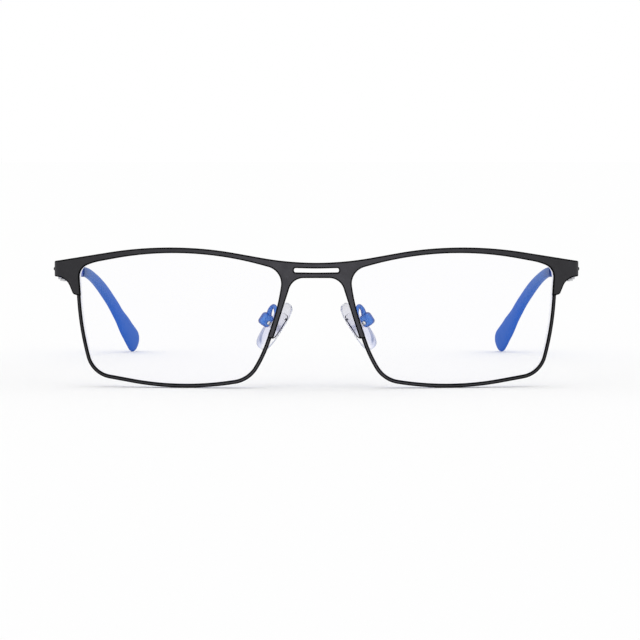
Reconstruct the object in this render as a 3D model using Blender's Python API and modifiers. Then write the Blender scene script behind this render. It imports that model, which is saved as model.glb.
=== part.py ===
"""Full-rim metal glasses: a bent front plate, grooved eyewires, folding temples and rocking nose pads.

Axes: +X right seen from the front, +Y back towards the temple tips, +Z up. The glasses rest at z = 0 on
both eyewires and both temple tips. Shapes are worked out in millimetres and scaled to metres at the end.
"""
import math

import bmesh
import bpy
from mathutils import Matrix, Vector

METRES_PER_MM = 0.001
CURVE_TOLERANCE = 0.02  # how far a straight facet may stray from an arc

# Front: flat at the bridge, then one shallow arc each side, then a tight bend into the wing
HALF_WIDTH = 70.15
FLAT_HALF = 9.0
FACE_RADIUS = 260.0
END_BEND_RADIUS = 1.9
WING_END_Y = 13.5
SHEET = 0.8
FIT = 0.05  # gap between pieces that touch face to face

# Eyewire and lens sections: widths from the eyewire's inner edge outwards, depths from the front face back
RIM_WIDTH = 1.03
RIM_DEPTH = 1.9
RIM_FRONT = SHEET + FIT
RIM_CHAMFER = 0.2
GROOVE_DEPTH = 0.42
GROOVE_HALF = 0.45
LENS_THICKNESS = 1.6
LENS_INSET = 0.06
BEVEL_HEIGHT = 0.30
BEVEL_HALF = 0.40
RIM_MIDDLE = RIM_FRONT + RIM_DEPTH / 2
RIM_BACK = RIM_FRONT + RIM_DEPTH

# Outlines in the unbent sheet: distance along the front, height, corner radius
LENS_CENTRE = (36.6, 18.3)
OPENING = (
    (63.86, 31.35, 3.4), (59.83, 33.03, 16.9), (33.95, 37.8, 88.0), (8.87, 30.93, 4.6),
    (10.06, 22.16, 52.0), (14.59, 8.59, 39.0), (17.89, 2.68, 6.5), (34.87, -0.45, 80.0),
    (59.54, 3.71, 6.6), (62.80, 15.24, 74.0),
)
RIM_OPENING = (
    (64.25, 31.54, 3.6), (59.8, 33.38, 18.3), (34.94, 38.17, 89.3), (8.78, 31.15, 4.7),
    (10.02, 21.83, 52.1), (14.57, 8.68, 35.9), (18.32, 2.43, 7.6), (35.56, -0.36, 84.6),
    (59.98, 3.72, 6.8), (63.08, 15.06, 74.1),
)
TOP_EDGE = (
    (0.0, 33.1, 0.0), (7.5, 33.14, 84.0), (27.46, 36.69, 92.0), (44.6, 37.52, 105.0), (69.5, 33.5, 4.0),
)
END_EDGE = (
    (70.9, 29.15, 6.0), (68.8, 28.95, 2.7), (66.93, 27.7, 3.3), (65.56, 24.5, 0.9), (64.4, 24.16, 0.0),
)
NASAL_EDGE = ((11.47, 12.95, 0.0), (6.32, 29.03, 4.0), (0.0, 29.05, 0.0))
BRIDGE_SLOT = (
    (-5.95, 30.58, 0.45), (0.0, 30.49, 90.0), (5.95, 30.58, 0.45),
    (5.95, 31.7, 0.45), (0.0, 31.54, 90.0), (-5.95, 31.7, 0.45),
)
WING_TOP_Z = 32.9
WING_BOTTOM_Z = 28.88
PLATE_END_TEMPORAL_Z = 24.15
PLATE_END_NASAL_Z = 13.1

# Rim lock behind the end piece
SPLIT_Z = 28.2
SPLIT_GAP = 0.1
LOCK_INNER_U = 65.15
LOCK_LOWER_U = 66.3
LOCK_UPPER_U = 66.75
LOCK_HEIGHT = 1.7
LOCK_BACK = 3.1
LOCK_SCREW_U = 65.72
LOCK_SCREW_D = 2.0
LOCK_SCREW_RADIUS = 0.35
LOCK_HEAD_RADIUS = 0.55
LOCK_HEAD_HEIGHT = 0.42
LOCK_SCREW_LENGTH = 3.5

# Hinge: axis square to the sloping temple
TEMPLE_SLOPE = math.radians(3.1)
HINGE_CENTRE = Vector((68.15, 15.0, 30.05))
BARREL_RADIUS = 1.15
BARREL_HALF = 2.4
KNUCKLE_HALF = 0.8
KNUCKLE_GAP = 0.05
LEAF_INNER_X = 0.4
LEAF_OUTER_X = HALF_WIDTH - SHEET - FIT - HINGE_CENTRE.x
LEAF_HALF = 2.0
FRONT_LEAF_LENGTH = 5.2
TEMPLE_LEAF_LENGTH = 6.5
NOTCH_REACH = BARREL_RADIUS + 0.1
HINGE_SCREW_RADIUS = 0.55
HINGE_BORE_RADIUS = 0.6
HINGE_HEAD_RADIUS = 0.92
HINGE_HEAD_HEIGHT = 0.42
RIVET_Y = 11.1
RIVET_Z = 31.1
RIVET_RADIUS = 0.35
RIVET_HEAD_RADIUS = 0.5
RIVET_HEAD_HEIGHT = 0.5

# Temple: a straight sloping arm, then a drop behind the ear, all bowed inwards behind BOW_START
TEMPLE_PATH = ((13.75, 31.0, 0.0), (109.6, 25.81, 64.8), (136.9, 3.469, 0.0))
ARM_HALF_FRONT = 2.0
ARM_HALF_BACK = 1.42
CORE_HALF = 0.7
TIP_START_Y = 84.0
CORE_LENGTH_IN_TIP = 33.0
BOW_START = 80.0
BOW_RADIUS = 138.5
BOW_CUT_LENGTH = 39.0
TIP_SIDE_HALVES = ((0.0, 1.52), (0.13, 1.46), (0.25, 1.5), (0.6, 2.15), (0.76, 2.5), (0.9, 3.4), (1.0, 3.75))
TIP_THICKNESS_HALVES = ((0.0, 0.9), (0.3, 1.1), (0.9, 0.95), (1.0, 0.9))
TIP_SECTION_POWER = 2.5
TIP_END_LENGTH = 3.4
CORE_CLEARANCE = 0.1

# Nose pads
PAD_CENTRE = Vector((11.3, 10.0, 15.75))
PAD_LEAN = math.radians(33.5)
PAD_SPLAY = math.radians(33.0)
PAD_HALF_LENGTH = 7.2
PAD_HALF_WIDTH = 4.0
PAD_BACK_POWER = 2.35
PAD_FRONT_POWER = 3.1
PAD_FRONT_INSET = 0.65
PAD_FRONT_TAPER = 0.012  # share of the width lost for every mm towards the top
PAD_BACK_INSET = 0.7
PAD_BACK_TAPER = 0.045
PAD_RINGS = ((-1.2, 0.95), (-1.0, 0.4), (-0.45, 0.0), (0.25, 0.0), (0.8, 0.45), (1.08, 1.1), (1.2, 2.1))
PAD_AXIS_N = -3.0
BOX_HALF_WIDTH = 1.3
BOX_LOWER_LENGTH = 1.55
BOX_UPPER_LENGTH = 2.05
BOX_NEAR_N = -1.75
BOX_FAR_N = -5.1
BOX_WALL = 0.5
BOX_SLOT_HALF = 0.6
BOX_ROUNDING = 0.8
PAD_SCREW_RADIUS = 0.45
PAD_BORE_RADIUS = 0.5
PAD_HEAD_RADIUS = 0.55
PAD_HEAD_HEIGHT = 0.4
TAB_HALF_WIDTH = 0.5
TAB_RADIUS = 0.95
INSERT_HALF_LENGTH = 3.7
INSERT_HALF_WIDTH = 1.7
INSERT_FORWARD = 0.7  # of its middle in front of the pad's middle
INSERT_POWER = 3.5
INSERT_RISE = 0.6  # of its middle above the pad's middle
INSERT_FAR_N = 0.43
INSERT_NEAR_N = 0.77
STUD_PLACE = (3.2, -1.75)
STUD_RADIUS = 0.3
STUD_FAR_N = 0.2
PAD_ARM_PATH = (
    (10.95, 2.82, 18.2), (10.95, 3.7, 18.2), (10.8, 4.75, 20.0), (11.3, 5.7, 21.3),
    (12.2, 6.7, 20.6), (12.62, 7.6, 19.5), (12.95, 8.4, 18.4),
)
PAD_ARM_RADII = (0.5, 0.5, 0.52, 0.56, 0.6, 0.72, 0.95)

FRAME_BLACK = ("frame_black_enamel", (0.035, 0.033, 0.040), 0.42, 0.5)
SCREW_STEEL = ("hinge_nickel_steel", (0.62, 0.62, 0.63), 0.3, 1.0)
PAD_ARM_BLUE = ("pad_arm_blue_enamel", (0.07, 0.19, 0.58), 0.3, 0.3)
TIP_BLUE = ("tip_blue_acetate", (0.055, 0.15, 0.47), 0.4, 0.0)
LENS_CLEAR = ("lens_clear", (0.93, 0.95, 0.98), 0.05, 0.0)
PAD_CLEAR = ("pad_clear_silicone", (0.80, 0.81, 0.86), 0.25, 0.0)
PIECE_COLLECTION = "blue_light_glasses"
OPACITY = {"lens_clear": 0.15, "pad_clear_silicone": 0.55}


# ---------------------------------------------------------------- outlines

def rounded(corners, closed):
    """Outline through the corners, each replaced by an arc of its own radius."""
    points = []
    count = len(corners)
    for index, (u, z, radius) in enumerate(corners):
        here = Vector((u, z))
        is_end = not closed and index in (0, count - 1)
        if is_end or radius == 0.0:
            points.append(here)
            continue
        before = (Vector(corners[index - 1][:2]) - here).normalized()
        after = (Vector(corners[(index + 1) % count][:2]) - here).normalized()
        turn = math.pi - before.angle(after)
        centre = here + (before + after).normalized() * radius / math.cos(turn / 2)
        start = here + before * radius * math.tan(turn / 2) - centre
        direction = -1.0 if before.cross(after) > 0.0 else 1.0
        steps = max(2, math.ceil(turn / (2 * math.acos(1 - CURVE_TOLERANCE / radius))))
        for step in range(steps + 1):
            angle = direction * turn * step / steps
            points.append(centre + Matrix.Rotation(angle, 2) @ start)
    return points


def offset_outline(points, distance):
    """Closed anticlockwise outline moved outwards by a distance."""
    moved = []
    count = len(points)
    for index, point in enumerate(points):
        before = (point - points[index - 1]).normalized()
        after = (points[(index + 1) % count] - point).normalized()
        normal = Vector((before.y + after.y, -before.x - after.x)).normalized()
        stretch = max(0.5, normal.dot(Vector((after.y, -after.x))))
        moved.append(point + normal * distance / stretch)
    return moved


def superellipse(half_a, half_b, power, count):
    points = []
    for index in range(count):
        angle = 2 * math.pi * index / count
        a = math.copysign(abs(math.cos(angle)) ** (2 / power), math.cos(angle))
        b = math.copysign(abs(math.sin(angle)) ** (2 / power), math.sin(angle))
        points.append((a * half_a, b * half_b))
    return points


def opening_angle(point):
    """Angle round the lens centre, from 0 at the temporal side, anticlockwise."""
    return math.atan2(point[1] - LENS_CENTRE[1], point[0] - LENS_CENTRE[0]) % (2 * math.pi)


def opening_part(from_z, to_z):
    """Edge of the opening over its top, from a height on the temporal side to one on the nasal side."""
    outline = rounded(OPENING, closed=True)
    crossings = []
    for start, end in zip(outline, outline[1:] + outline[:1]):
        for level, temporal in ((from_z, True), (to_z, False)):
            crosses = (start.y - level) * (end.y - level) < 0.0
            if crosses and (start.x > LENS_CENTRE[0]) == temporal:
                crossings.append(start.lerp(end, (level - start.y) / (end.y - start.y)))
    first, last = sorted(crossings, key=opening_angle)
    inside = [p for p in outline if opening_angle(first) < opening_angle(p) < opening_angle(last)]
    return [first] + sorted(inside, key=opening_angle) + [last]


def plate_outline():
    """Anticlockwise outline of the unbent front plate, both halves."""
    wing_end = wing_end_u()
    right = rounded(TOP_EDGE + ((wing_end, WING_TOP_Z, 0.0),), closed=False)
    right += rounded(((wing_end, WING_BOTTOM_Z, 0.0),) + END_EDGE, closed=False)
    right += opening_part(PLATE_END_TEMPORAL_Z, PLATE_END_NASAL_Z)
    right += rounded(NASAL_EDGE, closed=False)
    left = [Vector((-p.x, p.y)) for p in reversed(right) if p.x > 0.001]
    return list(reversed(right + left))


# ---------------------------------------------------------------- bends

def face_point(u, depth):
    """Bent place of a point at distance u along the front and depth behind its face."""
    beyond = abs(u) - FLAT_HALF
    if beyond <= 0.0:
        return u, depth
    angle = beyond / FACE_RADIUS
    x = FLAT_HALF + (FACE_RADIUS - depth) * math.sin(angle)
    y = FACE_RADIUS - (FACE_RADIUS - depth) * math.cos(angle)
    return math.copysign(x, u), y


def end_bend():
    """Angle of the face where the end bend starts, and the distance along the front to that place."""
    angle = math.asin((HALF_WIDTH - FLAT_HALF - END_BEND_RADIUS) / (FACE_RADIUS - END_BEND_RADIUS))
    return angle, FLAT_HALF + FACE_RADIUS * angle


def wing_start():
    """Distance along the front and depth in Y where the wing becomes straight."""
    angle, start = end_bend()
    length = END_BEND_RADIUS * (math.pi / 2 - angle)
    return start + length, FACE_RADIUS - (FACE_RADIUS - END_BEND_RADIUS) * math.cos(angle)


def wing_end_u():
    start, start_y = wing_start()
    return start + WING_END_Y - start_y


def plate_point(u, depth):
    """Like face_point, going on round the end bend and along the wing."""
    face_angle, start = end_bend()
    beyond = abs(u) - start
    if beyond <= 0.0:
        return face_point(u, depth)
    straight_u, straight_y = wing_start()
    if abs(u) >= straight_u:
        return math.copysign(HALF_WIDTH - depth, u), straight_y + abs(u) - straight_u
    angle = face_angle + beyond / END_BEND_RADIUS
    reach = END_BEND_RADIUS - depth
    x = HALF_WIDTH - END_BEND_RADIUS + reach * math.sin(angle)
    return math.copysign(x, u), straight_y - reach * math.cos(angle)


def bow_point(s, outwards):
    """Place of a temple point at distance s back and a distance outwards from the arm's middle plane."""
    middle = HALF_WIDTH - SHEET / 2
    beyond = s - BOW_START
    if beyond <= 0.0:
        return middle + outwards, s
    angle = beyond / BOW_RADIUS
    x = middle - BOW_RADIUS + (BOW_RADIUS + outwards) * math.cos(angle)
    return x, BOW_START + (BOW_RADIUS + outwards) * math.sin(angle)


# ---------------------------------------------------------------- mesh tools

def new_object(name, data):
    piece = bpy.data.objects.new(name, data)
    bpy.context.scene.collection.objects.link(piece)
    return piece


def discard(piece):
    bpy.data.objects.remove(piece)


def baked(piece):
    """Mesh object made from a curve or from a mesh with modifiers."""
    bpy.context.view_layer.update()
    evaluated = piece.evaluated_get(bpy.context.evaluated_depsgraph_get())
    mesh = bpy.data.meshes.new_from_object(evaluated)
    name = piece.name
    discard(piece)
    result = new_object(name, mesh)
    work = bmesh.new()
    work.from_mesh(mesh)
    bmesh.ops.remove_doubles(work, verts=work.verts, dist=0.0001)
    bmesh.ops.recalc_face_normals(work, faces=work.faces)
    work.to_mesh(mesh)
    work.free()
    return result


def slab(name, outlines, front, back):
    """Flat sheet: the first outline is its edge and the others are holes. Mesh axes: along, depth, height."""
    data = bpy.data.curves.new(name, "CURVE")
    data.dimensions = "2D"
    data.fill_mode = "BOTH"
    data.extrude = (back - front) / 2
    for outline in outlines:
        spline = data.splines.new("POLY")
        spline.points.add(len(outline) - 1)
        for point, (u, z) in zip(spline.points, outline):
            point.co = (u, z, 0.0, 1.0)
        spline.use_cyclic_u = True
    piece = baked(new_object(name, data))
    middle = (front + back) / 2
    for vertex in piece.data.vertices:
        u, z, depth = vertex.co
        vertex.co = (u, middle - depth, z)
    return piece


def sliced(piece, positions):
    """Cuts every face at the given distances along X, so that the sheet can bend there."""
    work = bmesh.new()
    work.from_mesh(piece.data)
    for position in positions:
        whole = work.verts[:] + work.edges[:] + work.faces[:]
        bmesh.ops.bisect_plane(work, geom=whole, plane_co=(position, 0.0, 0.0), plane_no=(1.0, 0.0, 0.0))
    work.to_mesh(piece.data)
    work.free()
    return piece


def bent(piece, bend):
    for vertex in piece.data.vertices:
        u, depth, z = vertex.co
        x, y = bend(u, depth)
        vertex.co = (x, y, z)
    return piece


def swept_ring(name, outline, section):
    """Closed section carried round a flat closed outline. Mesh axes: along, depth, height."""
    profile = bpy.data.curves.new(name + "_section", "CURVE")
    profile.dimensions = "2D"
    edge = profile.splines.new("POLY")
    edge.points.add(len(section) - 1)
    for point, (across, depth) in zip(edge.points, section):
        point.co = (-across, -depth, 0.0, 1.0)
    edge.use_cyclic_u = True
    profile_piece = new_object(name + "_section", profile)
    path = bpy.data.curves.new(name, "CURVE")
    path.dimensions = "2D"
    path.fill_mode = "NONE"
    path.bevel_mode = "OBJECT"
    path.bevel_object = profile_piece
    spline = path.splines.new("POLY")
    spline.points.add(len(outline) - 1)
    for point, (u, z) in zip(spline.points, outline):
        point.co = (u, z, 0.0, 1.0)
    spline.use_cyclic_u = True
    piece = baked(new_object(name, path))
    discard(profile_piece)
    for vertex in piece.data.vertices:
        u, z, depth = vertex.co
        vertex.co = (u, -depth, z)
    return faced_out(piece)


def faced_out(piece):
    work = bmesh.new()
    work.from_mesh(piece.data)
    bmesh.ops.recalc_face_normals(work, faces=work.faces)
    work.to_mesh(piece.data)
    work.free()
    return piece


def wire(name, path, radii):
    """Round wire through the points of a path, with a radius at each."""
    data = bpy.data.curves.new(name, "CURVE")
    data.dimensions = "3D"
    data.bevel_depth = 1.0
    data.bevel_resolution = 2
    data.use_fill_caps = True
    data.resolution_u = 4
    spline = data.splines.new("BEZIER")
    spline.bezier_points.add(len(path) - 1)
    for point, place, radius in zip(spline.bezier_points, path, radii):
        point.co = place
        point.radius = radius
        point.handle_left_type = "AUTO"
        point.handle_right_type = "AUTO"
    return baked(new_object(name, data))


def turned(name, profile, segments):
    """Body turned round Z from a profile of (radius, height) between the top and bottom centres."""
    mesh = bpy.data.meshes.new(name)
    places = [(radius, 0.0, height) for radius, height in profile]
    mesh.from_pydata(places, [(i, i + 1) for i in range(len(places) - 1)], [])
    piece = new_object(name, mesh)
    screw = piece.modifiers.new("turn", "SCREW")
    screw.steps = segments
    screw.render_steps = segments
    screw.use_merge_vertices = True
    screw.merge_threshold = 0.0001
    return baked(piece)


def rod(name, radius, bottom, top, segments=24):
    return turned(name, ((0.0, top), (radius, top), (radius, bottom), (0.0, bottom)), segments)


def box(name, low, high):
    mesh = bpy.data.meshes.new(name)
    work = bmesh.new()
    bmesh.ops.create_cube(work, size=1.0)
    for vertex in work.verts:
        for axis in range(3):
            vertex.co[axis] = high[axis] if vertex.co[axis] > 0.0 else low[axis]
    work.to_mesh(mesh)
    work.free()
    return new_object(name, mesh)


def softened(piece, width, segments):
    bevel = piece.modifiers.new("edges", "BEVEL")
    bevel.width = width
    bevel.segments = segments
    bevel.limit_method = "ANGLE"
    bevel.angle_limit = math.radians(40.0)
    return baked(piece)


def combined(piece, other, operation):
    """Boolean of two closed pieces; the second one is used up."""
    modifier = piece.modifiers.new("combine", "BOOLEAN")
    modifier.solver = "EXACT"
    modifier.operation = operation
    modifier.object = other
    result = baked(piece)
    discard(other)
    return result


def placed(piece, matrix):
    piece.data.transform(matrix)
    return piece


def loft(name, rings):
    """Closed body through rings of equal point counts, capped at both ends."""
    mesh = bpy.data.meshes.new(name)
    work = bmesh.new()
    loops = [[work.verts.new(place) for place in ring] for ring in rings]
    for lower, upper in zip(loops, loops[1:]):
        for index in range(len(lower)):
            after = (index + 1) % len(lower)
            work.faces.new((lower[index], lower[after], upper[after], upper[index]))
    work.faces.new(list(reversed(loops[0])))
    work.faces.new(loops[-1])
    bmesh.ops.recalc_face_normals(work, faces=work.faces)
    work.to_mesh(mesh)
    work.free()
    return new_object(name, mesh)


def mirrored(piece, name):
    """The same piece for the other side."""
    mesh = piece.data.copy()
    mesh.transform(Matrix.Scale(-1.0, 4, (1.0, 0.0, 0.0)))
    return faced_out(new_object(name, mesh))


# ---------------------------------------------------------------- front

def steps_between(start, end, spacing):
    count = max(1, math.ceil((end - start) / spacing))
    return [start + (end - start) * index / count for index in range(count + 1)]


def rivet_place(x):
    return Matrix.Translation((x, RIVET_Y, RIVET_Z)) @ Matrix.Rotation(math.pi / 2, 4, "Y")


def rivet_hole():
    return rod("rivet_hole", RIVET_RADIUS + FIT, -2.0, 2.0, 16)


def build_plate():
    plate = slab("front_plate", [plate_outline(), rounded(BRIDGE_SLOT, closed=True)], 0.0, SHEET)
    bend_start = end_bend()[1]
    straight_start = wing_start()[0]
    cuts = steps_between(FLAT_HALF, bend_start, 5.0) + steps_between(bend_start, straight_start, 0.45)[1:]
    plate = sliced(plate, cuts + [-cut for cut in cuts])
    plate = bent(plate, plate_point)
    for side in (-1.0, 1.0):
        plate = combined(plate, placed(rivet_hole(), rivet_place(side * HALF_WIDTH)), "DIFFERENCE")
    return plate


def rim_section():
    outer = RIM_WIDTH
    cut = RIM_CHAMFER
    return (
        (0.0, RIM_FRONT), (outer - cut, RIM_FRONT), (outer, RIM_FRONT + cut),
        (outer, RIM_BACK - cut), (outer - cut, RIM_BACK), (0.0, RIM_BACK),
        (0.0, RIM_MIDDLE + GROOVE_HALF), (GROOVE_DEPTH, RIM_MIDDLE), (0.0, RIM_MIDDLE - GROOVE_HALF),
    )


def build_rim():
    rim = swept_ring("right_rim", rounded(RIM_OPENING, closed=True), rim_section())
    low = (LOCK_INNER_U - 3.0, 0.0, SPLIT_Z - SPLIT_GAP / 2)
    high = (LOCK_INNER_U + 1.0, RIM_BACK + 1.0, SPLIT_Z + SPLIT_GAP / 2)
    rim = combined(rim, box("split", low, high), "DIFFERENCE")
    return bent(rim, face_point)


def build_lens():
    outline = rounded(RIM_OPENING, closed=True)
    half = LENS_THICKNESS / 2
    rings = []
    for inset, depth in ((-LENS_INSET, -half), (-LENS_INSET, -BEVEL_HALF), (BEVEL_HEIGHT, 0.0),
                         (-LENS_INSET, BEVEL_HALF), (-LENS_INSET, half)):
        ring = offset_outline(outline, inset)
        rings.append([(p.x, RIM_MIDDLE + depth, p.y) for p in ring])
    lens = sliced(loft("right_lens", rings), steps_between(10.0, 63.0, 4.5))
    return bent(lens, face_point)


def on_face(u, depth):
    """Placement on the bent front, turned to lie along it."""
    x, y = face_point(u, depth)
    return Matrix.Translation((x, y, 0.0)) @ Matrix.Rotation((u - FLAT_HALF) / FACE_RADIUS, 4, "Z")


def build_lock():
    """Upper and lower lock block and the upright screw through them."""
    place = on_face(LOCK_SCREW_U, LOCK_SCREW_D)
    front = RIM_FRONT + FIT - LOCK_SCREW_D
    back = LOCK_BACK - LOCK_SCREW_D
    inner = LOCK_INNER_U - LOCK_SCREW_U
    gap = SPLIT_GAP / 2
    pieces = []
    for name, outer, bottom in (("right_rim_lock_upper", LOCK_UPPER_U, SPLIT_Z + gap),
                                ("right_rim_lock_lower", LOCK_LOWER_U, SPLIT_Z - gap - LOCK_HEIGHT)):
        block = box(name, (inner, front, bottom), (outer - LOCK_SCREW_U, back, bottom + LOCK_HEIGHT))
        block = softened(block, 0.12, 1)
        bore = rod("bore", LOCK_SCREW_RADIUS + FIT, SPLIT_Z - 3.0, SPLIT_Z + 3.0)
        pieces.append(placed(combined(block, bore, "DIFFERENCE"), place))
    seat = SPLIT_Z + gap + LOCK_HEIGHT + 0.02
    screw = slotted_screw("right_rim_lock_screw", LOCK_HEAD_RADIUS, LOCK_HEAD_HEIGHT, LOCK_SCREW_RADIUS,
                          LOCK_SCREW_LENGTH)
    pieces.append(placed(screw, place @ Matrix.Translation((0.0, 0.0, seat))))
    return pieces


def slotted_screw(name, head_radius, head_height, shank_radius, length):
    """Screw along Z with the underside of its head at z = 0 and its shank below."""
    dome = head_height * 0.3
    profile = (
        (0.0, head_height), (head_radius * 0.6, head_height - dome * 0.25), (head_radius, head_height - dome),
        (head_radius, 0.0), (shank_radius, 0.0), (shank_radius, -length + 0.15),
        (shank_radius - 0.15, -length), (0.0, -length),
    )
    screw = turned(name, profile, 20)
    half = head_radius * 0.16
    slot = box("slot", (-head_radius - 1.0, -half, head_height * 0.5), (head_radius + 1.0, half, 1.0))
    return combined(screw, slot, "DIFFERENCE")


# ---------------------------------------------------------------- hinge

def hinge_place():
    return Matrix.Translation(HINGE_CENTRE) @ Matrix.Rotation(-TEMPLE_SLOPE, 4, "X")


def build_front_leaf():
    plate = box("right_hinge_front_leaf", (LEAF_INNER_X, -FRONT_LEAF_LENGTH, -LEAF_HALF),
                (LEAF_OUTER_X, 0.0, LEAF_HALF))
    leaf = combined(plate, rod("barrel", BARREL_RADIUS, -BARREL_HALF, BARREL_HALF), "UNION")
    gap = KNUCKLE_HALF + KNUCKLE_GAP
    leaf = combined(leaf, box("notch", (-2.0, -NOTCH_REACH, -gap), (2.0, 2.0, gap)), "DIFFERENCE")
    leaf = combined(leaf, rod("bore", HINGE_BORE_RADIUS, -4.0, 4.0), "DIFFERENCE")
    leaf = placed(leaf, hinge_place())
    return combined(leaf, placed(rivet_hole(), rivet_place(HALF_WIDTH - SHEET)), "DIFFERENCE")


def build_temple_leaf():
    plate = box("right_hinge_temple_leaf", (LEAF_INNER_X, 0.0, -LEAF_HALF),
                (LEAF_OUTER_X, TEMPLE_LEAF_LENGTH, LEAF_HALF))
    for low, high in ((KNUCKLE_HALF, 4.0), (-4.0, -KNUCKLE_HALF)):
        plate = combined(plate, box("notch", (-2.0, -1.0, low), (2.0, NOTCH_REACH, high)), "DIFFERENCE")
    leaf = combined(plate, rod("barrel", BARREL_RADIUS, -KNUCKLE_HALF, KNUCKLE_HALF), "UNION")
    leaf = combined(leaf, rod("bore", HINGE_BORE_RADIUS, -4.0, 4.0), "DIFFERENCE")
    return placed(leaf, hinge_place())


def build_hinge_screw():
    screw = slotted_screw("right_hinge_screw", HINGE_HEAD_RADIUS, HINGE_HEAD_HEIGHT, HINGE_SCREW_RADIUS,
                          2 * BARREL_HALF + 0.15)
    return placed(screw, hinge_place() @ Matrix.Translation((0.0, 0.0, BARREL_HALF + 0.03)))


def build_rivet():
    inner = LEAF_INNER_X + HINGE_CENTRE.x - HALF_WIDTH
    crown = 0.12
    profile = (
        (0.0, RIVET_HEAD_HEIGHT), (RIVET_HEAD_RADIUS * 0.7, RIVET_HEAD_HEIGHT - crown * 0.4),
        (RIVET_HEAD_RADIUS, RIVET_HEAD_HEIGHT - crown * 1.5), (RIVET_HEAD_RADIUS, 0.02), (RIVET_RADIUS, 0.02),
        (RIVET_RADIUS, inner), (0.0, inner),
    )
    rivet = turned("right_hinge_rivet", profile, 16)
    return placed(rivet, rivet_place(HALF_WIDTH))


# ---------------------------------------------------------------- temple

def ramp(table, fraction):
    """Smooth value between the rows of a (fraction, value) table."""
    for (low, first), (high, second) in zip(table, table[1:]):
        if fraction <= high:
            t = (fraction - low) / (high - low)
            t = t * t * (3.0 - 2.0 * t)
            return first + (second - first) * t
    return table[-1][1]


def path_stations():
    """Middle line of the temple as (point, forward direction, length so far)."""
    points = rounded(TEMPLE_PATH, closed=False)
    stations = []
    travelled = 0.0
    for index, point in enumerate(points):
        if index:
            travelled += (point - points[index - 1]).length
        before = points[max(0, index - 1)]
        after = points[min(len(points) - 1, index + 1)]
        stations.append((point, (after - before).normalized(), travelled))
    return stations


def path_at(length):
    stations = path_stations()
    for (first, along, start), (second, along_next, end) in zip(stations, stations[1:]):
        if length <= end:
            t = (length - start) / (end - start)
            return first.lerp(second, t), along.lerp(along_next, t).normalized()
    point, along, total = stations[-1]
    return point + along * (length - total), along


def path_length_to(y):
    """Path length at a distance back, within the straight part of the path."""
    start = TEMPLE_PATH[0]
    return (y - start[0]) / math.cos(TEMPLE_SLOPE)


def strip(stations):
    """Outline of a strip of varying half height along the path."""
    upper = []
    lower = []
    for length, half in stations:
        centre, along = path_at(length)
        normal = Vector((-along.y, along.x))
        upper.append(centre + normal * half)
        lower.append(centre - normal * half)
    return lower + list(reversed(upper))


def bow_cuts():
    """Distances back at which flat pieces are cut so that they can follow the bow."""
    return steps_between(BOW_START, BOW_START + BOW_CUT_LENGTH, 3.0)


def build_temple_arm():
    shoulder = path_length_to(TIP_START_Y) - 2 * FIT
    core_end = shoulder + CORE_LENGTH_IN_TIP
    stations = [(0.0, ARM_HALF_FRONT), (14.0, ARM_HALF_FRONT * 0.94), (shoulder, ARM_HALF_BACK)]
    stations += [(length, CORE_HALF) for length in steps_between(shoulder + 0.01, core_end, 3.0)]
    arm = slab("right_temple_arm", [strip(stations)], -SHEET / 2, SHEET / 2)
    arm = sliced(arm, bow_cuts())
    return bent(arm, lambda s, depth: bow_point(s, -depth))


def tip_ring(length, half_height, half_thickness):
    centre, along = path_at(length)
    normal = Vector((-along.y, along.x))
    ring = []
    for across, up in superellipse(half_thickness, half_height, TIP_SECTION_POWER, 16):
        place = centre + normal * up
        ring.append((place.x, across, place.y))
    return ring


def build_temple_tip():
    start = path_length_to(TIP_START_Y)
    total = path_stations()[-1][2]
    rings = []
    for length in steps_between(start, total, 4.0):
        fraction = (length - start) / (total - start)
        rings.append(tip_ring(length, ramp(TIP_SIDE_HALVES, fraction), ramp(TIP_THICKNESS_HALVES, fraction)))
    end_height = TIP_SIDE_HALVES[-1][1]
    end_thickness = TIP_THICKNESS_HALVES[-1][1]
    for angle in (25.0, 45.0, 62.0, 76.0, 86.0):
        turn = math.radians(angle)
        share = math.cos(turn) ** 0.8
        rings.append(tip_ring(total + TIP_END_LENGTH * math.sin(turn), end_height * share, end_thickness * share))
    tip = loft("right_temple_tip", rings)
    stations = [(length, CORE_HALF + CORE_CLEARANCE) for length in
                steps_between(start - 2.0, start + CORE_LENGTH_IN_TIP + 0.8, 3.0)]
    channel = slab("channel", [strip(stations)], -SHEET / 2 - CORE_CLEARANCE, SHEET / 2 + CORE_CLEARANCE)
    tip = combined(tip, sliced(channel, bow_cuts()), "DIFFERENCE")
    return bent(tip, lambda s, depth: bow_point(s, -depth))


# ---------------------------------------------------------------- nose pad

def pad_place():
    """Placement of the pad's own axes: X up its length, Y across it to the back, Z towards the nose."""
    length = Vector((-math.sin(PAD_LEAN), 0.0, math.cos(PAD_LEAN)))
    outwards = Vector((math.cos(PAD_LEAN), 0.0, math.sin(PAD_LEAN)))
    back = Vector((0.0, 1.0, 0.0))
    width = outwards * math.sin(PAD_SPLAY) + back * math.cos(PAD_SPLAY)
    nose = back * math.sin(PAD_SPLAY) - outwards * math.cos(PAD_SPLAY)
    turn = Matrix((length, width, nose)).transposed().to_4x4()
    return Matrix.Translation(PAD_CENTRE) @ turn


def headed_forwards():
    """Turns a body made along Z so that its top faces -Y."""
    return Matrix.Rotation(math.pi / 2, 4, "X")


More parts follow.
